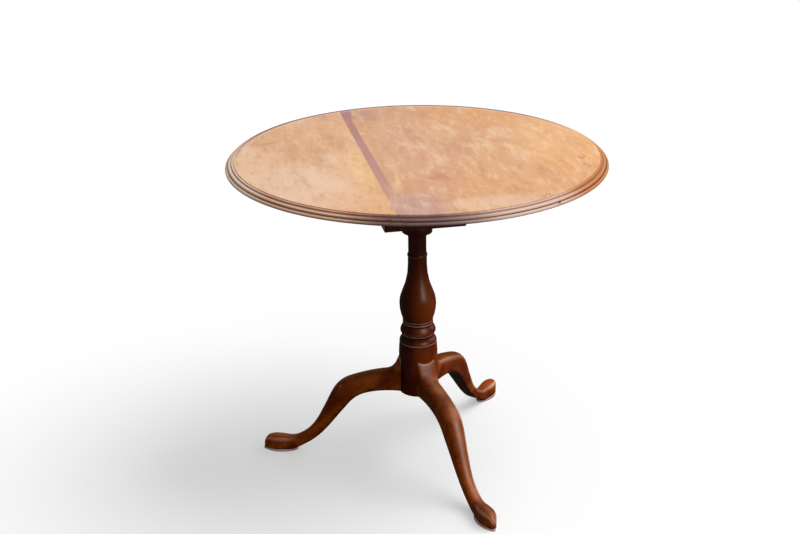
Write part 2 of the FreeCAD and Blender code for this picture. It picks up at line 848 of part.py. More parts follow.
def make_leg(side):
    """A cabriole leg lofted from the drum to the toe, with its dovetail and pad."""
    body = new_body(f"leg_{side}")
    sections = [leg_section(body, *station) for station in LEG_STATION_SHARES]
    loft = feature(body, "AdditiveLoft", sections[0])
    loft.Sections = sections[1:]
    drum = new_sketch(body, "XZ_Plane")
    rectangle(drum, ZERO, dim("drum_radius") + gap, ZERO, dim("leg_height") + dim("leg_depth"))
    turned(body, drum, "Groove")
    tongue = new_sketch(body, "XY_Plane", z=drum_bottom + dim("dovetail_rise"))
    dovetail(tongue, ZERO)
    pad(body, tongue, dim("dovetail_height") - dim("dovetail_rise"))
    sole = new_sketch(body, "XY_Plane")
    pad_outline(sole)
    pad(body, sole, dim("pad_thickness"))
    turn = FreeCAD.Rotation(FreeCAD.Vector(0, 0, 1), dim(f"leg_azimuth_{side}").value)
    body.Placement = FreeCAD.Placement(FreeCAD.Vector(), turn)
    body.setExpression("Placement.Rotation.Angle", f"Dims.leg_azimuth_{side}")


strike_middle = half_side - dim("strike_width") / 2
strike_screws = [(strike_middle, side * dim("strike_screw_spread")) for side in (-1, 1)]
bolt_top = underside - dim("case_plate") - dim("bolt_gap")
bolt_bottom = bolt_top - dim("bolt_thickness")
bolt_tip = half_side + dim("bolt_clear")
bolt_end = bolt_tip + dim("bolt_length")
housing_start = dim("case_start") + dim("housing_inset")
housing_end = housing_start + dim("housing_length")
housing_floor = bolt_bottom - dim("bolt_gap")
knob_x = bolt_tip + dim("knob_place")


def make_strike():
    """The brass strike let into the upper plate's edge."""
    body = new_body("strike_plate")
    sheet_sketch = new_sketch(body, "XY_Plane", z=upper_top)
    reach = dim("strike_length") / 2
    rectangle(sheet_sketch, half_side - dim("strike_width"), half_side, -reach, reach)
    pad(body, sheet_sketch, dim("strike_thickness"), reverse=True)
    holes = new_sketch(body, "XY_Plane", z=upper_top)
    circles(holes, strike_screws, dim("brass_screw_radius") + gap)
    pocket(body, holes, dim("strike_thickness"))
    sinks = new_sketch(body, "XY_Plane", z=upper_top)
    circles(sinks, strike_screws, dim("brass_screw_head") + gap)
    pocket(body, sinks, dim("brass_screw_head_height"))


def make_case():
    """The catch's base plate with the housing that guides the bolt, which is drawn back."""
    body = new_body("catch_case")
    base = new_sketch(body, "XY_Plane", z=underside)
    reach = dim("case_width") / 2
    end = dim("case_start") + dim("case_length")
    rectangle(base, dim("case_start"), end, -reach, reach)
    pad(body, base, dim("case_plate"), reverse=True)
    rounded(body, lambda edge: runs_along(edge, "z"), dim("housing_wall"))
    wall = dim("housing_wall")
    plate_bottom = underside - dim("case_plate")
    box = new_sketch(body, "XY_Plane", z=plate_bottom)
    reach = dim("housing_width") / 2
    rectangle(box, housing_start, housing_end, -reach, reach)
    pad(body, box, plate_bottom - housing_floor + wall, reverse=True)
    hollow = new_sketch(body, "XY_Plane", z=plate_bottom)
    reach = dim("bolt_width") / 2 + dim("bolt_gap")
    rectangle(hollow, housing_start, housing_end - wall, -reach, reach)
    pocket(body, hollow, plate_bottom - housing_floor)
    slot = new_sketch(body, "XY_Plane", z=housing_floor)
    reach = dim("knob_stem") + dim("bolt_gap")
    rectangle(slot, knob_x - dim("bolt_travel") - reach, knob_x + reach, -reach, reach)
    pocket(body, slot, wall)
    holes = new_sketch(body, "XY_Plane", z=underside)
    circles(holes, case_screws, dim("brass_screw_radius") + gap)
    pocket(body, holes, dim("case_plate"))
    sinks = new_sketch(body, "XY_Plane", z=plate_bottom)
    circles(sinks, case_screws, dim("brass_screw_head") + gap)
    pocket(body, sinks, dim("brass_screw_head_height"), reverse=True)


def make_bolt():
    """The bolt, bevelled under its nose so that it finds the strike."""
    body = new_body("catch_bolt")
    profile = new_sketch(body, "XZ_Plane")
    bevel = dim("nose_bevel")
    outline(profile, [
        (bolt_tip + bevel, bolt_bottom),
        (bolt_end, bolt_bottom),
        (bolt_end, bolt_top),
        (bolt_tip, bolt_top),
        (bolt_tip, bolt_bottom + bevel),
    ])
    pad(body, profile, dim("bolt_width"), midplane=True)
    tapped = new_sketch(body, "XY_Plane", z=bolt_bottom)
    circles(tapped, [(knob_x, ZERO)], dim("knob_stem"))
    pocket(body, tapped, dim("bolt_thickness") / 2, reverse=True)


def make_knob():
    """The turned thumb knob on its stem."""
    body = new_body("catch_knob")
    stem = dim("knob_stem")
    drop = dim("knob_drop")
    screwed = stem - gap
    top = bolt_bottom + dim("bolt_thickness") / 2
    points = [(ZERO, top), (ZERO, bolt_bottom - drop)]
    for drop_share, radius_share in reversed(KNOB_SHARES):
        points.append((radius_share * dim("knob_radius"), bolt_bottom - drop_share * drop))
    first_share = KNOB_SHARES[0][0]
    points += [(screwed, bolt_bottom - first_share * drop), (screwed, top)]
    profile = new_sketch(body, "XZ_Plane")
    outline(profile, points)
    turned(body, profile)
    place(body, "Placement", x=knob_x)


def main():
    make_board("top_board_left", True)
    make_board("top_board_right", False)
    make_cleat("cleat_front", -1)
    make_cleat("cleat_back", 1)
    make_screws(
        "cleat_screws",
        [(x, side * cleat_y) for side in (-1, 1) for x in screw_xs],
        dim("screw_length"),
        dim("screw_radius"),
        dim("screw_head_radius"),
        dim("screw_head_height"),
        dim("screw_slot"),
        screw_head_z,
        True,
    )
    make_upper_plate()
    make_lower_plate()
    for number, (x, y) in enumerate(baluster_places(), 1):
        make_baluster(number, x, y)
    make_collar()
    make_key()
    make_column()
    for side in LEG_SIDES:
        make_leg(side)
    make_strike()
    brass = [
        dim("brass_screw_length"),
        dim("brass_screw_radius"),
        dim("brass_screw_head"),
        dim("brass_screw_head_height"),
        dim("brass_screw_slot"),
    ]
    make_screws("strike_screws", strike_screws, *brass, upper_top, False)
    make_case()
    make_screws("catch_screws", case_screws, *brass, underside - dim("case_plate"), True)
    make_bolt()
    make_knob()
    doc.recompute()
    for item in doc.Objects:
        if "Invalid" in item.State or "Error" in item.State:
            raise RuntimeError(f"{item.Label} did not build")
    os.makedirs("parts", exist_ok=True)
    for body in bodies:
        shape = body.Shape
        if shape.isNull() or not shape.isValid():
            raise RuntimeError(f"{body.Label} is not a sound solid")
        shape.exportStep(f"parts/{body.Label}.step")
        box = shape.BoundBox
        print(f"{body.Label}: {len(shape.Solids)} solids, {shape.Volume:.0f} mm3, "
              f"x {box.XMin:.1f} {box.XMax:.1f}, y {box.YMin:.1f} {box.YMax:.1f}, "
              f"z {box.ZMin:.1f} {box.ZMax:.1f}")


main()
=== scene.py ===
import bmesh
import bpy
import math
from mathutils import Matrix, Vector


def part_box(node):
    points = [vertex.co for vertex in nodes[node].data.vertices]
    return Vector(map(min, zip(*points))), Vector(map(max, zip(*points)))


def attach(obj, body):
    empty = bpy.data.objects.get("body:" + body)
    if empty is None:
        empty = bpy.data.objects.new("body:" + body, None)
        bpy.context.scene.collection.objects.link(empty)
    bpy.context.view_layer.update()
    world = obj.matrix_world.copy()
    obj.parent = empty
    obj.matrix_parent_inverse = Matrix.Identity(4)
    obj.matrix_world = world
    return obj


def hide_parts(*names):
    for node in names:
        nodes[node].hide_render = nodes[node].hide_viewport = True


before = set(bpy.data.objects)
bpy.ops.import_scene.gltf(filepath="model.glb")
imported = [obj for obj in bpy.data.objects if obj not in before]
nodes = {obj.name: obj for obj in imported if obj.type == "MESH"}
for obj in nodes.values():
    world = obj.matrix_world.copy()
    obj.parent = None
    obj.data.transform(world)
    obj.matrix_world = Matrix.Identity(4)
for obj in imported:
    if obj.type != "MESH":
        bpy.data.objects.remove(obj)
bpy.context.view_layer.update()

# Places and sizes that come from the frame, in metres.
board_low, board_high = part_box("top_board_right")
column_low, column_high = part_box("column")
plate_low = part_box("cage_lower_plate")[0]
TABLE_HEIGHT = board_high[2]
UNDERSIDE = board_low[2]
TOP_RADIUS = board_high[0]
JOINT_X = board_low[0]
PLATE_BOTTOM = plate_low[2]
DRUM_RADIUS = column_high[0]
DRUM_BOTTOM = column_low[2]
COLUMN_TOP = column_high[2]

# Moulded edge of the top, from the field outwards.
EDGE_STEP = 0.002
EDGE_FILLET = 0.0042
EDGE_COVE = 0.0036
EDGE_BEAD = 0.0042
EDGE_QUIRK = 0.001
EDGE_OVOLO = 0.005
EDGE_LIP = 0.0006
EDGE_BEVEL = 0.009
FIELD_RADIUS = TOP_RADIUS - EDGE_OVOLO - EDGE_QUIRK - EDGE_BEAD - EDGE_COVE - EDGE_FILLET

# Turned column, as heights above the floor and radii.
SHOULDER_Z = 0.287
SHOULDER_LINE = 0.025
SHOULDER_RADIUS = 0.0414
SHOULDER_CURVE = 0.013
GROOVE_RADIUS = 0.0343
GROOVE_LOW = 0.2985
GROOVE_HIGH = 0.305
RING_FILLET_RADIUS = 0.0368
RING_FILLET_HIGH = 0.308
RING_RADIUS = 0.0391
RING_LOW = 0.311
RING_HIGH = 0.3154
RING_CURVE = 0.03
WAIST_RADIUS = 0.0331
WAIST_LOW = 0.327
WAIST_BEAD_LOW = 0.33
WAIST_BEAD_HIGH = 0.334
WAIST_BEAD_CURVE = 0.0029
WAIST_HIGH = 0.336
BAND_RADIUS = 0.0336
BAND_HIGH = 0.34
VASE_FOOT_RADIUS = 0.033
VASE_RADIUS = 0.0405
VASE_Z = 0.377
NECK_RADIUS = 0.0208
NECK_Z = 0.47006
VASE_CURVE_SHARE = 0.3
ASTRAGAL_Z = 0.49103
ASTRAGAL_RADIUS = 0.0219
ASTRAGAL_HALF = 0.0036
NECK_TOP_RADIUS = 0.0198
CAPITAL_FOOT = 0.5307
CAPITAL_WAIST = 0.033
CAPITAL_HOLLOW = 0.017
CAPITAL_FILLET = 0.005
CAPITAL_RADIUS = 0.036
JOURNAL_RADIUS = 0.019
JOURNAL_TOP = 0.6727
PIVOT_RADIUS = 0.009

# Legs. Each station gives the reach of the middle of a section and the rise of its
# underside above the pad, its tilt, then its depth, width, corner and crown.
LEG_AZIMUTHS = {"leg_back": 46, "leg_left": 164, "leg_front": 283.4}
# Which ridge of each leg is worn and carries a painted highlight, and how much painted sheen pales each
# crown.
LEG_RUBBED_AND_LIT_SIDES = {"leg_back": -1, "leg_left": -1, "leg_front": 1}
LEG_CROWN_SHEEN = {"leg_back": 0, "leg_left": 0.3, "leg_front": 0.5}
LEG_REACH = 0.3605
LEG_HEIGHT = 0.24
LEG_WIDTH = 0.043
LEG_DEPTH = 0.048
SOLE_HEIGHT = 0.004
LEG_STATION_SHARES = (
    (0.100, 0.686, 0, 1.900, 1.000, 0.20, 1.60),
    (0.122, 0.689, 0, 1.590, 1.000, 0.21, 1.50),
    (0.131, 0.690, 0, 1.440, 1.000, 0.23, 1.30),
    (0.143, 0.690, 0, 1.240, 0.990, 0.25, 1.10),
    (0.157, 0.690, 1, 1.090, 0.985, 0.28, 0.92),
    (0.170, 0.690, 2, 1.005, 0.980, 0.30, 0.82),
    (0.220, 0.687, 5, 0.935, 0.970, 0.32, 0.76),
    (0.290, 0.674, 11, 0.896, 0.960, 0.33, 0.72),
    (0.372, 0.639, 22, 0.890, 0.950, 0.34, 0.70),
    (0.428, 0.592, 34, 0.970, 0.930, 0.35, 0.68),
    (0.474, 0.529, 42, 0.990, 0.900, 0.36, 0.66),
    (0.509, 0.459, 50, 0.915, 0.860, 0.36, 0.66),
    (0.542, 0.388, 56, 0.795, 0.800, 0.37, 0.66),
    (0.578, 0.308, 58, 0.705, 0.740, 0.37, 0.66),
    (0.617, 0.228, 54, 0.605, 0.680, 0.38, 0.66),
    (0.656, 0.161, 48, 0.542, 0.640, 0.38, 0.66),
    (0.700, 0.103, 38, 0.510, 0.630, 0.38, 0.66),
    (0.744, 0.061, 26, 0.500, 0.640, 0.38, 0.66),
    (0.789, 0.021, 10, 0.560, 0.650, 0.38, 0.64),
    (0.833, 0.000, 0, 0.646, 0.670, 0.39, 0.60),
    (0.892, 0.000, 0, 0.698, 0.800, 0.39, 0.58),
    (0.944, 0.000, 0, 0.688, 0.680, 0.38, 0.58),
    (0.978, 0.000, 0, 0.563, 0.420, 0.37, 0.60),
    (0.998, 0.000, 0, 0.292, 0.160, 0.36, 0.64),
)
PAD_THICKNESS = 0.0045
PAD_CENTRE = 0.3194
PAD_HALF_WIDTH = 0.0195
PAD_SIDE_CURVE = 0.059
PAD_HEEL_CURVE = 0.011
PAD_TOE_CURVE = 0.0045
# The rounding below a leg, then where the marks of its ridges and its crown begin and grow.
HEEL_SHARE = 0.16
RIDGE_SLOPE = 12
RIDGE_OFFSET = 1.6
FOOT_START_SHARE = 0.84
FOOT_RIDGE = 1.5
CROWN_START_SHARE = 0.15

# Mesh settings.
WELD = 1e-6
TOP_STEPS = 360
COLUMN_STEPS = 128
STATION_SPLIT = 3
ARC_STEP = math.radians(9)
SHARP = math.radians(28)
FLAT = math.radians(0.2)
BOARD_EASE = 0.0006
COLUMN_EASE = 0.0009
PLATE_EASE = 0.0012
ORIGIN = Vector((0, 0, 0))
UP = Vector((0, 0, 1))


def tone(code):
    """A colour written as six hexadecimal digits, as the linear RGBA that a socket takes."""
    channels = [int(code[place:place + 2], 16) / 255 for place in (0, 2, 4)]
    return tuple(c / 12.92 if c <= 0.04045 else ((c + 0.055) / 1.055) ** 2.4 for c in channels) + (1,)


def direction(heading, elevation):
    """A unit vector at a heading from +X and an elevation above the floor."""
    heading = math.radians(heading)
    elevation = math.radians(elevation)
    level = math.cos(elevation)
    return Vector((math.cos(heading) * level, math.sin(heading) * level, math.sin(elevation)))


# Drawing and shaping meshes.

def swing(bm, pen, here, there, bend, steps):
    """Swings the pen from here to there on the minor arc of that signed radius."""
    chord = Vector((there[0] - here[0], 0, there[1] - here[1]))
    half = chord.length / 2
    radius = abs(bend)
    side = math.copysign(1, bend)
    lift = math.sqrt(max(radius * radius - half * half, 0))
    across = Vector((-chord.z, 0, chord.x)).normalized()
    centre = Vector((here[0], 0, here[1])) + chord / 2 + across * lift * side
    angle = 2 * math.asin(min(half / radius, 1))
    count = steps or max(2, math.ceil(angle / ARC_STEP))
    swept = bmesh.ops.spin(
        bm, geom=[pen], cent=centre, axis=(0, -side, 0), angle=angle, steps=count, use_merge=False
    )
    last = [item for item in swept["geom_last"] if isinstance(item, bmesh.types.BMVert)][0]
    last.co = (there[0], 0, there[1])
    return last


def draw(bm, points, closed=False, steps=None):
    """Draws an outline of (x, z) points and returns its vertices. A third entry, a signed
    radius, bends the run that follows, to the left where it is positive."""
    before = set(bm.verts)
    first = bm.verts.new((points[0][0], 0, points[0][1]))
    pen = first
    runs = list(zip(points, points[1:]))
    for here, there in runs:
        if len(here) > 2:
            pen = swing(bm, pen, here, there, here[2], steps)
        else:
            pen = bmesh.ops.extrude_vert_indiv(bm, verts=[pen])["verts"][0]
            pen.co = (there[0], 0, there[1])
    if closed:
        bm.edges.new((pen, first))
    return [v for v in bm.verts if v not in before]


def turn(bm, points, steps):
    """Turns an outline about the Z axis."""
    draw(bm, points)
    bmesh.ops.spin(
        bm, geom=bm.verts[:] + bm.edges[:], cent=ORIGIN, axis=UP, angle=math.tau, steps=steps,
        use_merge=True,
    )
    bmesh.ops.remove_doubles(bm, verts=bm.verts[:], dist=WELD)
    bmesh.ops.recalc_face_normals(bm, faces=bm.faces[:])


def ease(bm, width):
    """Rounds the sharp outer edges as handling does, and marks the crest of each as worn."""
    wear = bm.verts.layers.float.get("wear") or bm.verts.layers.float.new("wear")
    sharp = [
        edge for edge in bm.edges
        if edge.is_manifold and edge.is_convex and edge.calc_face_angle() > SHARP
    ]
    made = bmesh.ops.bevel(
        bm, geom=sharp, offset=width, offset_type="OFFSET", segments=2, profile=0.5,
        affect="EDGES", material=-1, clamp_overlap=True,
    )
    rounded = set(made["faces"])
    for vert in made["verts"]:
        if vert.is_valid and all(face in rounded for face in vert.link_faces):
            vert[wear] = 1


def piece(name, bm, material, body, slot, *stands_for):
    """Makes an object of the mesh, smooth but for its sharp edges, and rides it on a body."""
    mesh = bpy.data.meshes.new(name)
    for face in bm.faces:
        face.smooth = True
    for edge in bm.edges:
        edge.smooth = not (edge.is_manifold and edge.calc_face_angle() > SHARP)
    bm.to_mesh(mesh)
    bm.free()
    mesh.materials.append(material)
    item = bpy.data.objects.new(name, mesh)
    bpy.context.scene.collection.objects.link(item)
    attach(item, body)
    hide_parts(*stands_for)
    return item


def merged_copy(node):
    """A bmesh of a node's own shape, with its loose triangles merged into flat faces."""
    bm = bmesh.new()
    bm.from_mesh(nodes[node].data)
    bmesh.ops.remove_doubles(bm, verts=bm.verts[:], dist=WELD)
    bmesh.ops.dissolve_limit(
        bm, angle_limit=FLAT, use_dissolve_boundaries=False, verts=bm.verts[:], edges=bm.edges[:]
    )
    return bm


# Building materials.

class Finish:
    """A material with one short method for each kind of node that the finishes use."""

    def __init__(self, name):
        self.material = bpy.data.materials.new(name)
        self.material.use_nodes = True
        self.tree = self.material.node_tree
        self.shader = self.tree.nodes["Principled BSDF"]
        self.place = self.add("TexCoord").outputs["Object"]

    def add(self, kind, settings=(), **inputs):
        node = self.tree.nodes.new("ShaderNode" + kind)
        for key, value in dict(settings).items():
            setattr(node, key, value)
        for key, value in inputs.items():
            self.feed(node.inputs[key.replace("_", " ")], value)
        return node

    def feed(self, socket, value):
        if isinstance(value, bpy.types.NodeSocket):
            self.tree.links.new(value, socket)
        else:
            socket.default_value = value

    def set(self, **inputs):
        for key, value in inputs.items():
            self.feed(self.shader.inputs[key.replace("_", " ")], value)

    def mapped(self, scale, turn=(0, 0, 0)):
        """The place, turned onto the grain and then stretched."""
        turned = self.add("Mapping", Vector=self.place, Rotation=turn)
        return self.add("Mapping", Vector=turned.outputs[0], Scale=scale).outputs[0]

    def noise(self, vector, scale=1, detail=4, roughness=0.5, distortion=0):
        node = self.add(
            "TexNoise", Vector=vector, Scale=scale, Detail=detail, Roughness=roughness,
            Distortion=distortion,
        )
        return node.outputs["Fac"]

    def span(self, value, low, high, start=0, end=1):
        """A smooth step from start to end as the value goes from low to high."""
        node = self.add("MapRange", {"interpolation_type": "SMOOTHSTEP"}, Value=value)
        for socket, number in zip(node.inputs[1:5], (low, high, start, end)):
            self.feed(socket, number)
        return node.outputs[0]

    def sum(self, operation, first, second=0.5):
        node = self.add("Math", {"operation": operation})
        self.feed(node.inputs[0], first)
        self.feed(node.inputs[1], second)
        return node.outputs[0]

    def mix(self, share, first, second, mode="MIX"):
        node = self.add("Mix", {"data_type": "RGBA", "blend_type": mode})
        self.feed(node.inputs[0], share)
        self.feed(node.inputs[6], first)
        self.feed(node.inputs[7], second)
        return node.outputs[2]

    def ragged(self, reach):
        """The place, pushed about unevenly by up to half the reach either way."""
        noise = self.add("TexNoise", Vector=self.place, Scale=11, Detail=4, Roughness=0.6)
        push = self.add("VectorMath", {"operation": "SUBTRACT"})
        self.feed(push.inputs[0], noise.outputs["Color"])
        self.feed(push.inputs[1], (0.5, 0.5, 0.5))
        moved = self.add("VectorMath", {"operation": "MULTIPLY_ADD"})
        self.feed(moved.inputs[0], push.outputs[0])
        self.feed(moved.inputs[1], (reach, reach, reach))
        self.feed(moved.inputs[2], self.place)
        return moved.outputs[0]

    def patch(self, place, middle, half):
        """1 near the middle of an oval on the XY plane, fading to 0 at its half extents."""
        size = (1 / half[0], 1 / half[1], 0)
        shift = (-middle[0] / half[0], -middle[1] / half[1], 0)
        oval = self.add("Mapping", Vector=place, Scale=size, Location=shift)
        away = self.add("VectorMath", {"operation": "LENGTH"}, Vector=oval.outputs[0])
        return self.span(away.outputs["Value"], 1, 0.3)

    def axes(self):
        return self.add("SeparateXYZ", Vector=self.place).outputs

    def radius(self):
        """The distance from the Z axis."""
        flat = self.mapped((1, 1, 0))
        return self.add("VectorMath", {"operation": "LENGTH"}, Vector=flat).outputs["Value"]

    def attribute(self, name):
        return self.add("Attribute", {"attribute_name": name}).outputs["Fac"]

    def crevice(self, reach):
        """1 in the open, towards 0 in a corner: the occlusion that paints shade, and grime, into hollows.
        """
        node = self.add("AmbientOcclusion", {"samples": 8, "only_local": True}, Distance=reach)
        return node.outputs["AO"]

    def lines(self, colour, height, rows, share=1):
        """Draws lines round a turned piece: middle height, half breadth, strength and tone."""
        for middle, half, strength, shade in rows:
            away = self.sum("ABSOLUTE", self.sum("SUBTRACT", height, middle))
            line = self.sum("MULTIPLY", self.span(away, half, half * 0.4, 0, strength), share)
            colour = self.mix(line, colour, tone(shade))
        return colour

    def bump(self, height, strength, depth):
        node = self.add("Bump", Height=height, Strength=strength, Distance=depth)
        self.set(Normal=node.outputs[0])


# Joint and streak of the top as its colours show them: the joint leans a little, and the
# streak begins beside it, wanders and flares towards the back.
JOINT_SLANT = 0.0126
JOINT_SHIFT = 0.0041
STREAK_START = (JOINT_X - 0.0054, JOINT_X - 0.0034)
STREAK_END = (JOINT_X + 0.0165, JOINT_X + 0.0125)
STREAK_WANDER = 0.012
STREAK_FLARE = 0.008
STREAK_FLARE_SPAN = (0.26, 0.38)
STREAK_FRONT = (-0.31, -0.14)
STREAK_TONES = (-0.2, 0.35)

# Lines inside the field's edge, the start of the moulding and the start of the underside.
FIELD_PALE = (FIELD_RADIUS - 0.02, FIELD_RADIUS - 0.012)
FIELD_DARK = (FIELD_RADIUS - 0.0095, FIELD_RADIUS - 0.006)
MOULDING_START = (FIELD_RADIUS - 0.0002, FIELD_RADIUS + 0.0006)
UNDERSIDE_START = (TABLE_HEIGHT - 0.0164, TABLE_HEIGHT - 0.0172)
BEHIND = (0, 0.3)

# From left to right the moulding's tone changes over one span, and its worn crests with their painted
# highlights end over another.
EDGE_TONES = (-0.2, 0.3)
EDGE_CRESTS_END = (0.12, 0.34)

# Patches of the moulding, as the middle and half extents in metres.
DIM_EDGE = ((-0.06, -0.39), (0.22, 0.14))
# A painted reflection on the front right of the moulding.
REFLECTION_EDGE = ((0.14, -0.37), (0.2, 0.1))
# Painted light on the left of the moulding.
LEFT_EDGE_LIGHT = ((-0.40, -0.04), (0.14, 0.22))

# The span, in metres, over which the outlines of the patches stray.
PATCH_STRAY = 0.09

# Patches of the top's fading: the middle and half extents in metres, the strength and the tone. The pale
# patches at the front left are partly fading and partly a painted sheen.
TOP_PATCHES_AND_SHEEN = (
    (-0.280, -0.170, 0.190, 0.250, 0.75, "F5D0B4"),
    (-0.240, 0.160, 0.170, 0.220, 0.50, "E6AC7E"),
    (-0.360, 0.040, 0.080, 0.260, 0.60, "F4CAA6"),
    (0.020, 0.330, 0.340, 0.110, 0.45, "D39A70"),
    (0.230, 0.270, 0.230, 0.130, 0.70, "DE9E60"),
    (0.330, 0.000, 0.150, 0.330, 0.75, "EAB072"),
    (-0.010, -0.020, 0.140, 0.380, 0.60, "D9A58A"),
    (0.150, -0.250, 0.170, 0.130, 0.60, "DFAA7C"),
    (-0.072, -0.325, 0.100, 0.110, 0.80, "C8A09A"),
    (0.110, -0.345, 0.170, 0.055, 0.60, "EAC6AE"),
    (-0.132, -0.090, 0.032, 0.230, 0.60, "F0C085"),
    (0.165, 0.060, 0.080, 0.070, 0.45, "CC9873"),
    (0.060, 0.120, 0.070, 0.100, 0.40, "E8B88C"),
    (0.011, -0.177, 0.030, 0.040, 0.50, "C48770"),
    (-0.309, 0.134, 0.040, 0.012, 0.55, "C58D60"),
    (-0.150, 0.322, 0.040, 0.022, 0.45, "C48862"),
    (-0.052, 0.312, 0.055, 0.060, 0.50, "B48A7C"),
    (-0.205, 0.020, 0.028, 0.120, 0.55, "CC9670"),
    (-0.160, 0.120, 0.026, 0.110, 0.50, "CE9870"),
    (-0.255, 0.090, 0.030, 0.100, 0.45, "D2A07A"),
    (0.020, 0.130, 0.024, 0.110, 0.50, "C08E70"),
    (0.090, 0.020, 0.022, 0.120, 0.45, "C49474"),
    (0.200, 0.180, 0.030, 0.100, 0.45, "D89E62"),
)
# Scuffs, as the middle and half extents in metres.
TOP_SCUFFS = (
    (0.170, -0.328, 0.030, 0.012),
    (0.199, -0.347, 0.022, 0.010),
    (0.333, -0.100, 0.012, 0.020),
    (0.315, -0.173, 0.022, 0.026),
    (-0.113, -0.378, 0.050, 0.018),
)

# Lines of the moulding, as heights, half breadths, strengths and tones: the crests are worn pale and carry
# painted highlights, and the hollows are painted shade.
EDGE_CRESTS = (
    (TABLE_HEIGHT - 0.0020, 0.0004, 0.40, "E0B89E"),
    (TABLE_HEIGHT - 0.0066, 0.0013, 0.75, "F0CDB6"),
    (TABLE_HEIGHT - 0.0122, 0.0016, 0.65, "EEC8AE"),
)
EDGE_SHADED_HOLLOWS = (
    (TABLE_HEIGHT - 0.0011, 0.0009, 0.80, "5E382C"),
    (TABLE_HEIGHT - 0.0043, 0.0014, 0.65, "6E4230"),
    (TABLE_HEIGHT - 0.0103, 0.0009, 0.90, "4A2A1E"),
    (TABLE_HEIGHT - 0.0160, 0.0010, 0.80, "3A2016"),
)


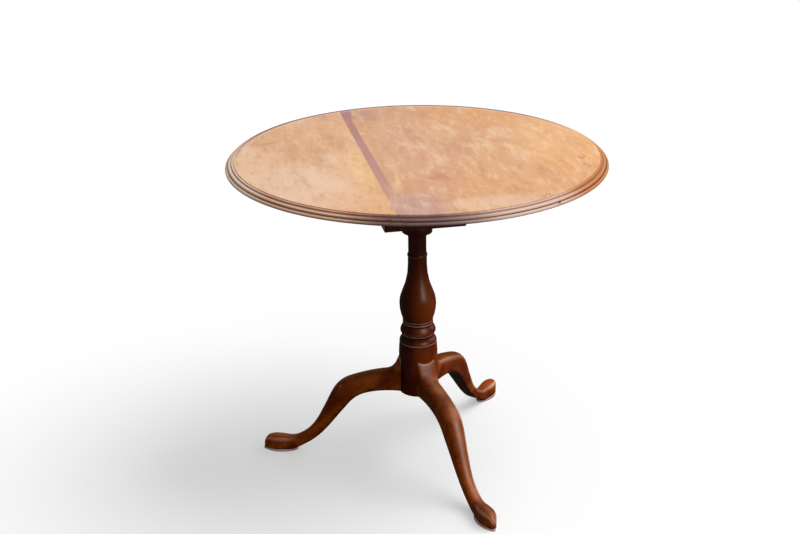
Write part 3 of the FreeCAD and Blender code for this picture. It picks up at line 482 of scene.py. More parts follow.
def faded_top():
    """Faded mahogany of the top: blotched honey brown with a plum streak beside the joint."""
    paint = Finish("faded_top")
    x, y, z = paint.axes()
    fibre = paint.noise(paint.mapped((240, 5, 240)), detail=6, roughness=0.6)
    ribbon = paint.noise(paint.mapped((42, 3.2, 42)), detail=4, distortion=0.4)
    cloud = paint.noise(paint.mapped((8, 5, 8)), detail=5, roughness=0.6, distortion=0.3)
    blotch = paint.noise(paint.mapped((24, 9, 24)), detail=4, roughness=0.58, distortion=0.4)
    dapple = paint.noise(paint.mapped((62, 24, 62), (0, 0, -0.2)), detail=3, roughness=0.6)
    stroke = paint.noise(paint.mapped((70, 13, 70), (0, 0, 0.12)), detail=4, roughness=0.65, distortion=0.2)
    skew = paint.sum("ADD", x, paint.sum("MULTIPLY", y, -JOINT_SLANT))
    on_left = paint.sum("LESS_THAN", skew, JOINT_X - JOINT_SHIFT)
    on_right = paint.sum("SUBTRACT", 1, on_left)

    colour = paint.mix(on_left, tone("D69C70"), tone("E8B286"))
    colour = paint.mix(paint.span(cloud, 0.32, 0.68, 0, 0.4), colour, tone("E9BC94"))
    ragged = paint.ragged(PATCH_STRAY)
    # Patches of fading; the pale ones at the front left also stand in for a painted sheen.
    for across, along, half_across, half_along, strength, shade in TOP_PATCHES_AND_SHEEN:
        patch = paint.patch(ragged, (across, along), (half_across, half_along))
        side = on_left if across < JOINT_X else on_right
        patch = paint.sum("MULTIPLY", paint.sum("MULTIPLY", patch, side), strength)
        colour = paint.mix(patch, colour, tone(shade))
    colour = paint.mix(paint.span(blotch, 0.5, 0.72, 0, 0.5), colour, tone("F4D5B2"))
    colour = paint.mix(paint.span(blotch, 0.48, 0.27, 0, 0.5), colour, tone("CB9470"))
    colour = paint.mix(paint.span(dapple, 0.52, 0.68, 0, 0.18), colour, tone("F6D6B2"))
    colour = paint.mix(paint.span(dapple, 0.47, 0.32, 0, 0.2), colour, tone("C48C66"))
    colour = paint.mix(paint.span(stroke, 0.52, 0.7, 0, 0.3), colour, tone("F5D8B8"))
    colour = paint.mix(paint.span(stroke, 0.46, 0.3, 0, 0.34), colour, tone("C38C66"))

    # The plum streak runs along the joint, a little askew, and fades into the patch at the front.
    wander = paint.sum("MULTIPLY", paint.sum("SUBTRACT", ribbon, 0.5), STREAK_WANDER)
    askew = paint.sum("ADD", skew, wander)
    spread = paint.sum("SUBTRACT", askew, paint.span(y, *STREAK_FLARE_SPAN, 0, STREAK_FLARE))
    streak = paint.span(spread, *STREAK_END)
    streak = paint.sum("MULTIPLY", streak, paint.span(skew, *STREAK_START))
    streak = paint.sum("MULTIPLY", streak, paint.span(y, *STREAK_FRONT, 0.05, 0.95))
    streak = paint.sum("MULTIPLY", streak, paint.span(blotch, 0.3, 0.5, 0.75, 1))
    plum = paint.mix(paint.span(y, *STREAK_TONES), tone("C0918A"), tone("AE7670"))
    colour = paint.mix(streak, colour, plum)

    # A dark line and a pale one run inside the back edge of the field.
    radius = paint.radius()
    behind = paint.span(y, *BEHIND)
    pale = paint.span(radius, *FIELD_PALE, 0, 0.4)
    colour = paint.mix(paint.sum("MULTIPLY", pale, behind), colour, tone("F2CDB4"))
    dark = paint.span(radius, *FIELD_DARK, 0, 0.95)
    colour = paint.mix(paint.sum("MULTIPLY", dark, behind), colour, tone("604842"))

    # The moulding is painted dark with shade in its hollows, and worn pale with painted highlights on its
    # crests.
    moulded = paint.span(radius, *MOULDING_START)
    edge_tone = paint.mix(paint.span(x, *EDGE_TONES), tone("C69274"), tone("B86C34"))
    dim = paint.patch(ragged, *DIM_EDGE)
    edge_tone = paint.mix(dim, edge_tone, tone("4E3F4A"))
    # A painted reflection of the light pales the front right of the moulding.
    painted_reflection = paint.patch(ragged, *REFLECTION_EDGE)
    edge_tone = paint.mix(paint.sum("MULTIPLY", painted_reflection, 0.9), edge_tone, tone("DABDB4"))
    # Painted light pales the left of the moulding.
    painted_left_light = paint.patch(ragged, *LEFT_EDGE_LIGHT)
    edge_tone = paint.mix(painted_left_light, edge_tone, tone("FBE0CE"))
    colour = paint.mix(paint.sum("MULTIPLY", moulded, 0.85), colour, edge_tone)
    rubbed_and_lit = paint.sum("MULTIPLY", paint.span(cloud, 0.3, 0.6, 0.5, 1), paint.span(dim, 0, 1, 1, 0.12))
    rubbed_and_lit = paint.sum("MULTIPLY", rubbed_and_lit, paint.span(x, *EDGE_CRESTS_END, 1, 0.15))
    rubbed_and_lit = paint.sum("MULTIPLY", rubbed_and_lit, moulded)
    # Painted highlights with wear on the crests, then painted shade in the hollows.
    colour = paint.lines(colour, z, EDGE_CRESTS, rubbed_and_lit)
    colour = paint.lines(colour, z, EDGE_SHADED_HOLLOWS, moulded)
    arris = paint.sum("MULTIPLY", paint.attribute("wear"), paint.sum("MULTIPLY", rubbed_and_lit, 0.7))
    colour = paint.mix(arris, colour, tone("EBCBB2"))
    grit = paint.span(paint.noise(paint.mapped((260, 160, 260)), detail=2), 0.54, 0.62)
    for across, along, half_across, half_along in TOP_SCUFFS:
        patch = paint.patch(ragged, (across, along), (half_across, half_along))
        colour = paint.mix(paint.sum("MULTIPLY", patch, grit), colour, tone("6E4630"))
    below = paint.span(z, *UNDERSIDE_START)
    bare = paint.mix(paint.span(ribbon, 0.3, 0.7), tone("3B2114"), tone("55321D"))
    colour = paint.mix(below, colour, bare)
    colour = paint.mix(paint.span(fibre, 0.45, 0.75, 0, 0.06), colour, tone("B5815C"), "MULTIPLY")
    gloss = paint.span(cloud, 0.3, 0.7, 0.36, 0.46)
    paint.set(Base_Color=colour, Roughness=paint.sum("ADD", gloss, paint.sum("MULTIPLY", below, 0.35)))
    paint.set(Specular_IOR_Level=0.04)
    paint.bump(paint.sum("ADD", fibre, paint.sum("MULTIPLY", ribbon, 0.6)), 0.05, 0.001)
    return paint.material


# Lines of the column, as heights, half breadths, strengths and tones: the edges are worn pale and carry
# painted highlights, and the grooves hold black wax and painted shade.
COLUMN_CRESTS = (
    (SHOULDER_Z, 0.0014, 1.0, "C9A498"),
    (RING_FILLET_HIGH - 0.0012, 0.0014, 0.95, "C9A498"),
    (RING_LOW + 0.002, 0.0016, 0.4, "9A6048"),
    (WAIST_BEAD_LOW + 0.0022, 0.0012, 0.9, "C9A498"),
    (BAND_HIGH - 0.0016, 0.0012, 0.75, "B88E80"),
    (ASTRAGAL_Z - 0.001, 0.0010, 0.5, "A87C6C"),
)
COLUMN_GROOVES = (
    (GROOVE_HIGH - 0.0026, 0.0026, 0.9, "120503"),
    (RING_FILLET_HIGH + 0.0016, 0.0013, 0.8, "120503"),
    (WAIST_LOW + 0.0006, 0.0018, 0.85, "120503"),
    (WAIST_HIGH - 0.0006, 0.0012, 0.85, "120503"),
    (BAND_HIGH + 0.0016, 0.0014, 0.7, "120503"),
)

# Where the column's painted light turns from its shaded side to its lit one, and where painted shade
# darkens its head.
PAINTED_LIGHT_HEADING = 328
PAINTED_LIGHT_SPAN = (-0.024, 0.04)
HEAD_SHADE_SPAN = (0.42, 0.52)

# Where a leg's colours change: its edge at the drum, its knee and its foot.
DRUM_EDGE = (DRUM_RADIUS + 0.0026, DRUM_RADIUS + 0.0012)
DRUM_EDGE_RISE = (0.232, 0.238)
KNEE_INNER = (0.07, 0.11)
KNEE_OUTER = (0.21, 0.16)
KNEE_RISE = (0.14, 0.2)
FOOT_START = (0.28, 0.31)
PAD_START = (PAD_THICKNESS + 0.0006, PAD_THICKNESS)
GRIME_AND_SHADE_REACH = 0.007


def dark_mahogany(name, turn):
    """Polished mahogany of the pedestal, with the grain turned onto the piece's length."""
    paint = Finish(name)
    fibre = paint.noise(paint.mapped((300, 300, 8), turn), detail=6, roughness=0.6)
    ribbon = paint.noise(paint.mapped((40, 24, 4), turn), detail=4, distortion=0.5)
    cloud = paint.noise(paint.place, 14, detail=5, distortion=0.6)
    figure = paint.sum("ADD", paint.sum("MULTIPLY", ribbon, 0.3), paint.sum("MULTIPLY", cloud, 0.7))
    paint.figure = paint.span(figure, 0.36, 0.64)
    paint.fibre = paint.span(fibre, 0.5, 0.75, 0, 0.2)
    paint.worn = paint.span(cloud, 0.3, 0.65, 0.3, 1)
    paint.set(Roughness=0.6, Specular_IOR_Level=0, Coat_Weight=0.05, Coat_Roughness=0.34)
    paint.bump(paint.sum("ADD", fibre, paint.sum("MULTIPLY", cloud, 3)), 0.06, 0.001)
    return paint


def finish_mahogany(paint, colour):
    """Adds the dark fibres, grime and painted shade in the hollows, and the worn crests."""
    colour = paint.mix(paint.fibre, colour, tone("1B0803"))
    # Occlusion paints shade, with grime, into the hollows and the joints.
    hollow = paint.span(paint.crevice(GRIME_AND_SHADE_REACH), 0.35, 0.9, 0.9, 0)
    colour = paint.mix(hollow, colour, tone("0E0402"))
    worn = paint.sum("MULTIPLY", paint.attribute("wear"), paint.sum("MULTIPLY", paint.worn, 0.6))
    return paint.mix(worn, colour, tone("B07F62"))


def column_mahogany():
    """The column, with light and shade painted on: nearly black on the shaded side, red on the side painted
    as lit, and painted shade on its head.
    """
    paint = dark_mahogany("column_mahogany", (0, 0, 0.3))
    # Painted light: a lit tone on the side towards the heading, a shaded tone on the other.
    painted_light = paint.add("VectorMath", {"operation": "DOT_PRODUCT"}, Vector=paint.place)
    paint.feed(painted_light.inputs[1], direction(PAINTED_LIGHT_HEADING, 0))
    painted_light = paint.span(painted_light.outputs["Value"], *PAINTED_LIGHT_SPAN)
    painted_shade_tone = paint.mix(paint.figure, tone("300C04"), tone("4C1A0A"))
    painted_lit_tone = paint.mix(paint.figure, tone("641C02"), tone("94420E"))
    colour = finish_mahogany(paint, paint.mix(painted_light, painted_shade_tone, painted_lit_tone))
    height = paint.axes()[2]
    # Painted shade darkens the head of the column under the top.
    colour = paint.mix(paint.span(height, *HEAD_SHADE_SPAN, 0, 0.6), colour, tone("1C0803"))
    # Painted shade in the grooves, and painted highlights with wear on the edges.
    colour = paint.lines(colour, height, COLUMN_GROOVES)
    colour = paint.lines(colour, height, COLUMN_CRESTS, paint.worn)
    paint.set(Base_Color=colour)
    return paint.material


def leg_mahogany(name, azimuth, rubbed_and_lit, crown_sheen):
    """A leg: warmer than the column, paler along the edge that meets the drum, and with a painted
    highlight, worn in places, along one ridge: the left one where rubbed_and_lit is 1 and the right one
    where it is -1. The share of painted sheen pales the middle of the upper face."""
    paint = dark_mahogany(name, (0, math.radians(-50), math.radians(-azimuth)))
    colour = finish_mahogany(paint, paint.mix(paint.figure, tone("682303"), tone("AC5014")))
    radius = paint.radius()
    height = paint.axes()[2]
    edge = paint.span(radius, *DRUM_EDGE)
    edge = paint.sum("MULTIPLY", edge, paint.span(height, *DRUM_EDGE_RISE, 0, 0.85))
    colour = paint.mix(edge, colour, tone("B08C7C"))
    knee = paint.sum("MULTIPLY", paint.span(radius, *KNEE_INNER), paint.span(radius, *KNEE_OUTER))
    knee = paint.sum("MULTIPLY", knee, paint.span(height, *KNEE_RISE, 0, 0.45))
    colour = paint.mix(paint.sum("MULTIPLY", knee, paint.worn), colour, tone("B8662C"))
    ridges = paint.attribute("ridge")
    both = paint.sum("ABSOLUTE", ridges)
    # The ridge on the lit side carries a painted highlight with its wear; on the foot both ridges do.
    ridge = paint.sum("MAXIMUM", paint.sum("MULTIPLY", ridges, rubbed_and_lit), 0)
    foot = paint.sum("MULTIPLY", both, paint.span(radius, *FOOT_START, 0, 0.6))
    ridge = paint.sum("MAXIMUM", ridge, foot)
    ridge = paint.sum("MULTIPLY", ridge, paint.sum("MULTIPLY", paint.worn, 0.8))
    colour = paint.mix(ridge, colour, tone("CBA288"))
    # A painted sheen pales the middle of the upper face.
    painted_sheen = paint.sum("MULTIPLY", paint.attribute("crown"), paint.sum("MULTIPLY", paint.worn, crown_sheen))
    colour = paint.mix(painted_sheen, colour, tone("C69C84"))
    nicks = paint.span(paint.noise(paint.place, 170, detail=1), 0.67, 0.73, 0, 0.35)
    nicks = paint.sum("MULTIPLY", nicks, both)
    colour = paint.mix(nicks, colour, tone("D6B49C"))
    # Painted shade darkens the underside of the leg.
    colour = paint.mix(paint.sum("MULTIPLY", paint.attribute("under"), 0.85), colour, tone("1A0A05"))
    pad = paint.span(height, *PAD_START, 0, 0.95)
    colour = paint.mix(pad, colour, paint.mix(paint.worn, tone("9A5A4A"), tone("F0D8CE")))
    paint.set(Base_Color=colour)
    return paint.material


def raw_mahogany(name, turn):
    """Unpolished mahogany of the cage and cleats, dark with age."""
    paint = Finish(name)
    fibre = paint.noise(paint.mapped((260, 260, 9), turn), detail=6, roughness=0.65)
    ribbon = paint.noise(paint.mapped((60, 34, 6), turn), detail=4, distortion=0.3)
    cloud = paint.noise(paint.place, 11, detail=3)
    colour = paint.mix(paint.span(ribbon, 0.34, 0.66), tone("2C140B"), tone("4E2817"))
    colour = paint.mix(paint.span(fibre, 0.45, 0.72, 0, 0.55), colour, tone("170903"))
    colour = paint.mix(paint.span(cloud, 0.45, 0.7, 0, 0.35), colour, tone("5E3A24"))
    worn = paint.sum("MULTIPLY", paint.attribute("wear"), 0.5)
    colour = paint.mix(worn, colour, tone("845A3E"))
    paint.set(Base_Color=colour, Roughness=paint.span(fibre, 0.3, 0.7, 0.5, 0.68))
    paint.set(Specular_IOR_Level=0.06)
    paint.bump(paint.sum("ADD", fibre, ribbon), 0.25, 0.001)
    return paint.material


def old_metal(name, bright, dull, polish):
    """Tarnished metal: bright where it is rubbed, dull brown elsewhere."""
    paint = Finish(name)
    cloud = paint.noise(paint.place, 120, detail=5, roughness=0.6)
    grit = paint.noise(paint.place, 900, detail=3)
    tarnish = paint.span(cloud, 0.38, 0.64)
    paint.set(Base_Color=paint.mix(tarnish, bright, dull), Metallic=1)
    paint.set(Roughness=paint.span(cloud, 0.35, 0.65, polish, polish + 0.22))
    paint.bump(paint.sum("ADD", grit, cloud), 0.08, 0.0004)
    return paint.material


# The pieces.

def top_outline():
    """Half section of the top, from under its middle round the moulding to the field."""
    quirk_x = TOP_RADIUS - EDGE_OVOLO
    bead_x = quirk_x - EDGE_QUIRK
    cove_x = bead_x - EDGE_BEAD
    fillet_x = cove_x - EDGE_COVE
    step_z = TABLE_HEIGHT - EDGE_STEP
    cove_z = step_z - EDGE_COVE
    bead_z = cove_z - EDGE_BEAD
    quirk_z = bead_z - EDGE_QUIRK
    ovolo_z = quirk_z - EDGE_OVOLO
    return [
        (0, UNDERSIDE),
        (TOP_RADIUS - EDGE_BEVEL, UNDERSIDE),
        (TOP_RADIUS, ovolo_z - EDGE_LIP),
        (TOP_RADIUS, ovolo_z, EDGE_OVOLO),
        (quirk_x, quirk_z),
        (bead_x, quirk_z),
        (bead_x, bead_z, EDGE_BEAD),
        (cove_x, cove_z, -EDGE_COVE),
        (fillet_x, step_z),
        (FIELD_RADIUS, step_z),
        (FIELD_RADIUS, TABLE_HEIGHT),
        (0, TABLE_HEIGHT),
    ]


def top_board(name, material, keeps_left):
    """One board of the top: the moulded disc, sawn off at the joint."""
    bm = bmesh.new()
    turn(bm, top_outline(), TOP_STEPS)
    bmesh.ops.dissolve_limit(
        bm, angle_limit=FLAT, use_dissolve_boundaries=False, verts=bm.verts[:], edges=bm.edges[:]
    )
    ease(bm, BOARD_EASE)
    cut = bmesh.ops.bisect_plane(
        bm, geom=bm.verts[:] + bm.edges[:] + bm.faces[:], dist=WELD, plane_co=(JOINT_X, 0, 0),
        plane_no=(1, 0, 0), clear_outer=keeps_left, clear_inner=not keeps_left,
    )
    rim = [item for item in cut["geom_cut"] if isinstance(item, bmesh.types.BMEdge)]
    bmesh.ops.edgeloop_fill(bm, edges=rim)
    bmesh.ops.recalc_face_normals(bm, faces=bm.faces[:])
    return piece(name + "_wood", bm, material, "top", "top_wood", name)


def column_outline():
    """Half outline of the turned column, from its foot to the pivot."""
    over = VASE_RADIUS - NECK_RADIUS
    rise = NECK_Z - VASE_Z
    curves = (over * over + rise * rise) / (2 * over)
    bend_x = VASE_RADIUS - VASE_CURVE_SHARE * over
    bend_z = VASE_Z + VASE_CURVE_SHARE * rise
    swell = VASE_RADIUS - VASE_FOOT_RADIUS
    drop = VASE_Z - BAND_HIGH
    belly = (swell * swell + drop * drop) / (2 * swell)
    ovolo = CAPITAL_WAIST - NECK_TOP_RADIUS
    fillet_z = PLATE_BOTTOM - CAPITAL_FILLET
    return [
        (0, DRUM_BOTTOM),
        (DRUM_RADIUS, DRUM_BOTTOM),
        (DRUM_RADIUS, SHOULDER_Z - SHOULDER_LINE),
        (SHOULDER_RADIUS, SHOULDER_Z, SHOULDER_CURVE),
        (GROOVE_RADIUS, GROOVE_LOW),
        (GROOVE_RADIUS, GROOVE_HIGH),
        (RING_FILLET_RADIUS, GROOVE_HIGH),
        (RING_FILLET_RADIUS, RING_FILLET_HIGH),
        (RING_RADIUS, RING_LOW),
        (RING_RADIUS, RING_HIGH, RING_CURVE),
        (WAIST_RADIUS, WAIST_LOW),
        (WAIST_RADIUS, WAIST_BEAD_LOW, WAIST_BEAD_CURVE),
        (WAIST_RADIUS, WAIST_BEAD_HIGH),
        (WAIST_RADIUS, WAIST_HIGH),
        (BAND_RADIUS, WAIST_HIGH),
        (BAND_RADIUS, BAND_HIGH),
        (VASE_FOOT_RADIUS, BAND_HIGH, belly),
        (VASE_RADIUS, VASE_Z, VASE_CURVE_SHARE * curves),
        (bend_x, bend_z, (VASE_CURVE_SHARE - 1) * curves),
        (NECK_RADIUS, NECK_Z),
        (NECK_RADIUS, ASTRAGAL_Z - ASTRAGAL_HALF, ASTRAGAL_HALF),
        (ASTRAGAL_RADIUS, ASTRAGAL_Z, ASTRAGAL_HALF),
        (NECK_TOP_RADIUS, ASTRAGAL_Z + ASTRAGAL_HALF),
        (NECK_TOP_RADIUS, CAPITAL_FOOT, -ovolo),
        (CAPITAL_WAIST, CAPITAL_FOOT + ovolo),
        (CAPITAL_WAIST, fillet_z - CAPITAL_HOLLOW, -CAPITAL_HOLLOW),
        (CAPITAL_RADIUS, fillet_z),
        (CAPITAL_RADIUS, PLATE_BOTTOM),
        (JOURNAL_RADIUS, PLATE_BOTTOM),
        (JOURNAL_RADIUS, JOURNAL_TOP),
        (PIVOT_RADIUS, JOURNAL_TOP),
        (PIVOT_RADIUS, COLUMN_TOP),
        (0, COLUMN_TOP),
    ]


def column(material):
    bm = bmesh.new()
    turn(bm, column_outline(), COLUMN_STEPS)
    ease(bm, COLUMN_EASE)
    return piece("column_wood", bm, material, "pedestal", "pedestal_wood", "column")


def fine_stations():
    """The stations of a leg with more between them, on smooth curves through the given ones."""
    rows = [Vector(row) for row in LEG_STATION_SHARES]
    spans = [math.dist(here[:2], there[:2]) for here, there in zip(rows, rows[1:])]
    climbs = [(there - here) / span for here, there, span in zip(rows, rows[1:], spans)]
    slopes = [climbs[0]]
    for index in range(1, len(spans)):
        before, after = spans[index - 1], spans[index]
        slopes.append((climbs[index - 1] * after + climbs[index] * before) / (before + after))
    slopes.append(climbs[-1])
    fine = []
    for index, span in enumerate(spans):
        for count in range(STATION_SPLIT):
            t = count / STATION_SPLIT
            along = (rows[index + 1] - rows[index]) * (t * t * (3 - 2 * t))
            leaving = slopes[index] * (span * t * (1 - t) ** 2)
            arriving = slopes[index + 1] * (span * t * t * (1 - t))
            fine.append(rows[index] + along + leaving - arriving)
    return fine + [rows[-1]]


def leg_ring(bm, reach_share, rise_share, tilt, depth_share, width_share, corner_share, crown_share):
    """Draws a section across the leg and returns its edges: flat below, crowned above."""
    half = width_share * LEG_WIDTH / 2
    high = depth_share * LEG_DEPTH / 2
    corner = corner_share * width_share * LEG_WIDTH
    crown = crown_share * width_share * LEG_WIDTH
    heel = HEEL_SHARE * half
    crown_z = high - crown
    inner = crown - corner
    side = half - corner
    corner_z = crown_z + math.sqrt(inner * inner - side * side)
    touch_x = side * crown / inner
    touch_z = crown_z + (corner_z - crown_z) * crown / inner
    middle_z = (corner_z - high) / 2
    ring = draw(bm, [
        (0, -high),
        (half - heel, -high, heel),
        (half, heel - high),
        (half, middle_z),
        (half, corner_z, corner),
        (touch_x, touch_z, crown),
        (-touch_x, touch_z, corner),
        (-half, corner_z),
        (-half, middle_z),
        (-half, heel - high, heel),
        (heel - half, -high),
    ], closed=True, steps=5)
    ridge = bm.verts.layers.float["ridge"]
    under = bm.verts.layers.float["under"]
    crown_face = bm.verts.layers.float["crown"]
    for vert in ring:
        across = (abs(vert.co.x) - touch_x) / (half - touch_x)
        if vert.co.z > corner_z and across > 0:
            growth = min(max(RIDGE_SLOPE * reach_share - RIDGE_OFFSET, 0), 1)
            crest = 4 * across * (1 - across) * growth
            crest *= FOOT_RIDGE if reach_share > FOOT_START_SHARE else 1
            vert[ridge] = math.copysign(crest, vert.co.x)
        # The flat underside is marked for painted shade.
        vert[under] = vert.co.z < heel - high and abs(vert.co.x) < half
        if vert.co.z > corner_z and reach_share > CROWN_START_SHARE:
            vert[crown_face] = max(1 - abs(vert.co.x) / touch_x, 0)
    place = Matrix.Translation((
        reach_share * LEG_REACH,
        0,
        SOLE_HEIGHT + rise_share * (LEG_HEIGHT - SOLE_HEIGHT) + high,
    ))
    lean = Matrix.Rotation(math.radians(tilt), 4, "Y")
    across = Matrix.Rotation(math.radians(90), 4, "Z")
    bmesh.ops.transform(bm, matrix=place @ lean @ across, verts=ring)
    inside = set(ring)
    return [edge for edge in bm.edges if edge.verts[0] in inside and edge.verts[1] in inside]


def pad_outline():
    """The pad in plan: a leaf of four arcs that run smoothly into each other."""
    drop = PAD_SIDE_CURVE - PAD_HALF_WIDTH
    ends = []
    for curve, way in ((PAD_TOE_CURVE, 1), (PAD_HEEL_CURVE, -1)):
        reach = PAD_SIDE_CURVE - curve
        run = math.sqrt(reach * reach - drop * drop)
        ends.append((PAD_CENTRE + way * (run + run * curve / reach), drop * curve / reach, curve))
    (toe_x, toe_y, toe), (heel_x, heel_y, heel) = ends
    return [
        (toe_x, -toe_y, toe),
        (toe_x, toe_y, PAD_SIDE_CURVE),
        (heel_x, heel_y, heel),
        (heel_x, -heel_y, PAD_SIDE_CURVE),
        (toe_x, -toe_y),
    ]


def add_pad(bm):
    """Adds the thin pad under the foot, as a closed shape of its own."""
    flat = draw(bm, pad_outline())
    bmesh.ops.remove_doubles(bm, verts=flat, dist=WELD)
    rim = [v for v in flat if v.is_valid]
    bmesh.ops.rotate(bm, verts=rim, cent=ORIGIN, matrix=Matrix.Rotation(math.radians(-90), 3, "X"))
    inside = set(rim)
    edges = [edge for edge in bm.edges if edge.verts[0] in inside and edge.verts[1] in inside]
    sole = bmesh.ops.contextual_create(bm, geom=edges)["faces"]
    raised = bmesh.ops.extrude_face_region(bm, geom=sole, use_keep_orig=True)["geom"]
    lifted = [item for item in raised if isinstance(item, bmesh.types.BMVert)]
    bmesh.ops.translate(bm, vec=(0, 0, PAD_THICKNESS), verts=lifted)
    crease = bm.edges.layers.float["crease_edge"]
    for edge in edges + [item for item in raised if isinstance(item, bmesh.types.BMEdge)]:
        edge[crease] = 1


def leg(name, azimuth, material):
    """A cabriole leg: sections bridged from the drum to the toe, over its pad."""
    bm = bmesh.new()
    for layer in ("wear", "ridge", "under", "crown"):
        bm.verts.layers.float.new(layer)
    bm.edges.layers.float.new("crease_edge")
    rings = [leg_ring(bm, *station) for station in fine_stations()]
    for inner, outer in zip(rings, rings[1:]):
        bmesh.ops.bridge_loops(bm, edges=inner + outer)
    bmesh.ops.edgeloop_fill(bm, edges=rings[0])
    bmesh.ops.edgeloop_fill(bm, edges=rings[-1])
    add_pad(bm)
    bmesh.ops.recalc_face_normals(bm, faces=bm.faces[:])
    spin = Matrix.Rotation(math.radians(azimuth), 3, "Z")
    bmesh.ops.rotate(bm, verts=bm.verts[:], cent=ORIGIN, matrix=spin)
    item = piece(name + "_wood", bm, material, "pedestal", "pedestal_wood", name)
    smooth = item.modifiers.new("smooth", "SUBSURF")
    smooth.levels = 1
    smooth.render_levels = 1
    return item


def eased_node(node, material, body, slot, width):
    """A node's own shape with its edges rounded by use."""
    bm = merged_copy(node)
    ease(bm, width)
    return piece(node + "_eased", bm, material, body, slot, node)


def dress(material, *names):
    """Gives nodes whose shape is right their finish."""
    for name in names:
        nodes[name].data.materials.clear()
        nodes[name].data.materials.append(material)


# The stage.

FLOOR_HALF = 40
FLOOR_UNSEEN = (0.1, 0.1, 0.1, 1)
FLOOR_SEEN = (0.63, 0.63, 0.63, 1)
FLOOR_GLOW = 0.39


def floor():
    """A pale floor that keeps the shadow and throws little light back up."""
    mesh = bpy.data.meshes.new("floor")
    bm = bmesh.new()
    bmesh.ops.create_grid(bm, x_segments=1, y_segments=1, size=FLOOR_HALF)
    bm.to_mesh(mesh)
    bm.free()
    item = bpy.data.objects.new("floor", mesh)
    bpy.context.scene.collection.objects.link(item)
    paint = Finish("floor")
    rays = paint.add("LightPath").outputs
    seen = paint.sum("MAXIMUM", rays["Is Camera Ray"], rays["Is Glossy Ray"])
    seen = paint.sum("MAXIMUM", seen, rays["Is Transmission Ray"])
    paint.set(Base_Color=paint.mix(seen, FLOOR_UNSEEN, FLOOR_SEEN), Roughness=0.9)
    paint.set(Specular_IOR_Level=0, Emission_Color=(1, 1, 1, 1))
    paint.set(Emission_Strength=paint.sum("MULTIPLY", seen, FLOOR_GLOW))
    mesh.materials.append(paint.material)


# Lights, each at a heading to the right of the camera's and an elevation in degrees. The lamp
# goes on with its strength and softness, the windows with width, height and strength.
OVERHEAD = (97, 58, 1.72, 45)
WINDOW = (42, 30, 1.5, 1.8, 560)
SIDE_WINDOW = (120, 38, 1.4, 3.4, 340)
WINDOW_DISTANCE = 3.2
SKY_TURN = 105
SKY_ELEVATION = 35
SKY_LEVELS = (0.1, 0.9, 0.15, 1.02)

# Camera: place in metres, angles in degrees, focal length in pixels of an 800 pixel frame.
CAMERA_PLACE = Vector((-0.5376, -2.5222, 1.5157))
CAMERA_HEADING = 78.81
CAMERA_PITCH = 22.241
CAMERA_ROLL = -0.8326
FOCAL_PIXELS = 1281.08
IMAGE_WIDTH = 800
SENSOR_WIDTH = 36


def camera():
    """The camera as it was fitted to the photograph."""
    forward = direction(CAMERA_HEADING, -CAMERA_PITCH)
    right = forward.cross(UP).normalized()
    above = right.cross(forward)
    roll = math.radians(CAMERA_ROLL)
    tipped_right = right * math.cos(roll) + above * math.sin(roll)
    tipped_above = above * math.cos(roll) - right * math.sin(roll)
    axes = Matrix((tipped_right, tipped_above, -forward)).transposed()
    data = bpy.data.cameras.new("camera")
    data.sensor_width = SENSOR_WIDTH
    data.lens = SENSOR_WIDTH * FOCAL_PIXELS / IMAGE_WIDTH
    item = bpy.data.objects.new("camera", data)
    item.matrix_world = Matrix.Translation(CAMERA_PLACE) @ axes.to_4x4()
    bpy.context.scene.collection.objects.link(item)
    bpy.context.scene.camera = item


def lamp(name, heading, elevation, strength, softness):
    """A soft lamp far away, at a heading to the right of the camera's own."""
    data = bpy.data.lights.new(name, "SUN")
    data.energy = strength
    data.angle = math.radians(softness)
    item = bpy.data.objects.new(name, data)
    toward = direction(CAMERA_HEADING + 180 + heading, elevation)
    item.rotation_euler = toward.to_track_quat("Z", "Y").to_euler()
    bpy.context.scene.collection.objects.link(item)


def window(name, heading, elevation, width, height, strength, polished):
    """A window that shows only as a highlight in the polish of the given pieces."""
    data = bpy.data.lights.new(name, "AREA")
    data.shape = "RECTANGLE"
    data.size = width
    data.size_y = height
    data.energy = strength
    item = bpy.data.objects.new(name, data)
    toward = direction(CAMERA_HEADING + 180 + heading, elevation)
    item.location = toward * WINDOW_DISTANCE
    item.rotation_euler = toward.to_track_quat("Z", "Y").to_euler()
    item.visible_diffuse = False
    item.visible_camera = False
    item.light_linking.receiver_collection = polished
    bpy.context.scene.collection.objects.link(item)


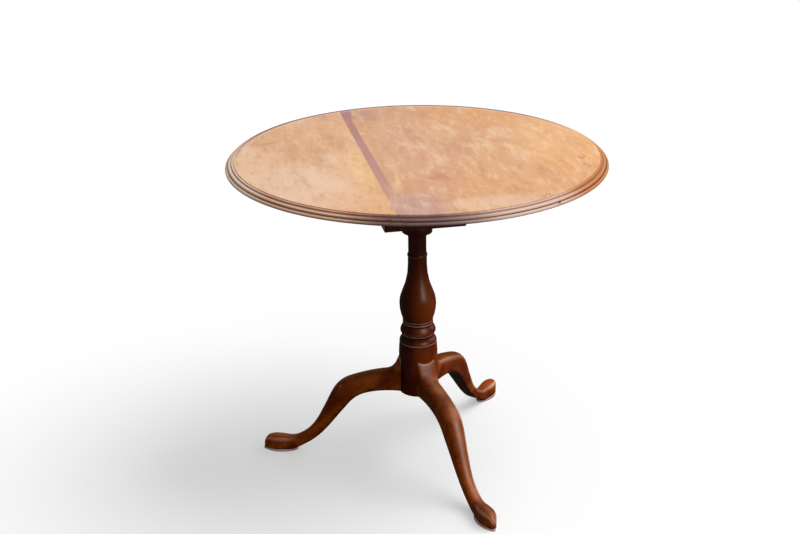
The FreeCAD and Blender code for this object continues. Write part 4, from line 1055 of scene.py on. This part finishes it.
def sky():
    """Soft light from all round, brighter from the right, that is seen as white."""
    world = bpy.data.worlds.new("studio")
    bpy.context.scene.world = world
    world.use_nodes = True
    tree = world.node_tree
    place = tree.nodes.new("ShaderNodeTexCoord")
    facing = tree.nodes.new("ShaderNodeVectorMath")
    facing.operation = "DOT_PRODUCT"
    facing.inputs[1].default_value = direction(CAMERA_HEADING - SKY_TURN, SKY_ELEVATION)
    tree.links.new(place.outputs["Generated"], facing.inputs[0])
    level = tree.nodes.new("ShaderNodeMapRange")
    tree.links.new(facing.outputs["Value"], level.inputs["Value"])
    for socket, number in zip(level.inputs[1:5], SKY_LEVELS):
        socket.default_value = number
    rays = tree.nodes.new("ShaderNodeLightPath").outputs
    shown = level.outputs[0]
    for kind in ("Is Camera Ray", "Is Glossy Ray", "Is Transmission Ray"):
        pale = tree.nodes.new("ShaderNodeMath")
        pale.operation = "MAXIMUM"
        tree.links.new(shown, pale.inputs[0])
        tree.links.new(rays[kind], pale.inputs[1])
        shown = pale.outputs[0]
    tree.nodes["Background"].inputs["Color"].default_value = (1, 1, 1, 1)
    tree.links.new(shown, tree.nodes["Background"].inputs["Strength"])


def build():
    top = faded_top()
    top_board("top_board_left", top, True)
    top_board("top_board_right", top, False)
    polished = bpy.data.collections.new("polished")
    polished.objects.link(column(column_mahogany()))
    for name, azimuth in LEG_AZIMUTHS.items():
        wood = leg_mahogany(name + "_mahogany", azimuth, LEG_RUBBED_AND_LIT_SIDES[name], LEG_CROWN_SHEEN[name])
        polished.objects.link(leg(name, azimuth, wood))
    plank = raw_mahogany("cage_mahogany", (math.radians(90), 0, 0))
    cleat = raw_mahogany("cleat_mahogany", (0, math.radians(90), 0))
    upright = raw_mahogany("turned_mahogany", (0, 0, 0))
    for node in ("cage_upper_plate", "cage_lower_plate"):
        eased_node(node, plank, "cage", "cage_wood", PLATE_EASE)
    for node in ("cleat_front", "cleat_back"):
        eased_node(node, cleat, "top", "cage_wood", PLATE_EASE)
    dress(upright, "cage_baluster_1", "cage_baluster_2", "cage_baluster_3", "cage_baluster_4", "collar")
    dress(plank, "cage_key")
    brass = old_metal("old_brass", tone("B08A45"), tone("6B5128"), 0.28)
    iron = old_metal("old_iron", tone("5A5048"), tone("2E2622"), 0.45)
    dress(brass, "strike_plate", "strike_screws", "catch_case", "catch_bolt", "catch_knob", "catch_screws")
    dress(iron, "cleat_screws")
    floor()
    camera()
    sky()
    lamp("overhead", *OVERHEAD)
    window("window", *WINDOW, polished)
    window("side_window", *SIDE_WINDOW, polished)
    bpy.context.scene.view_settings.view_transform = "Standard"


build()
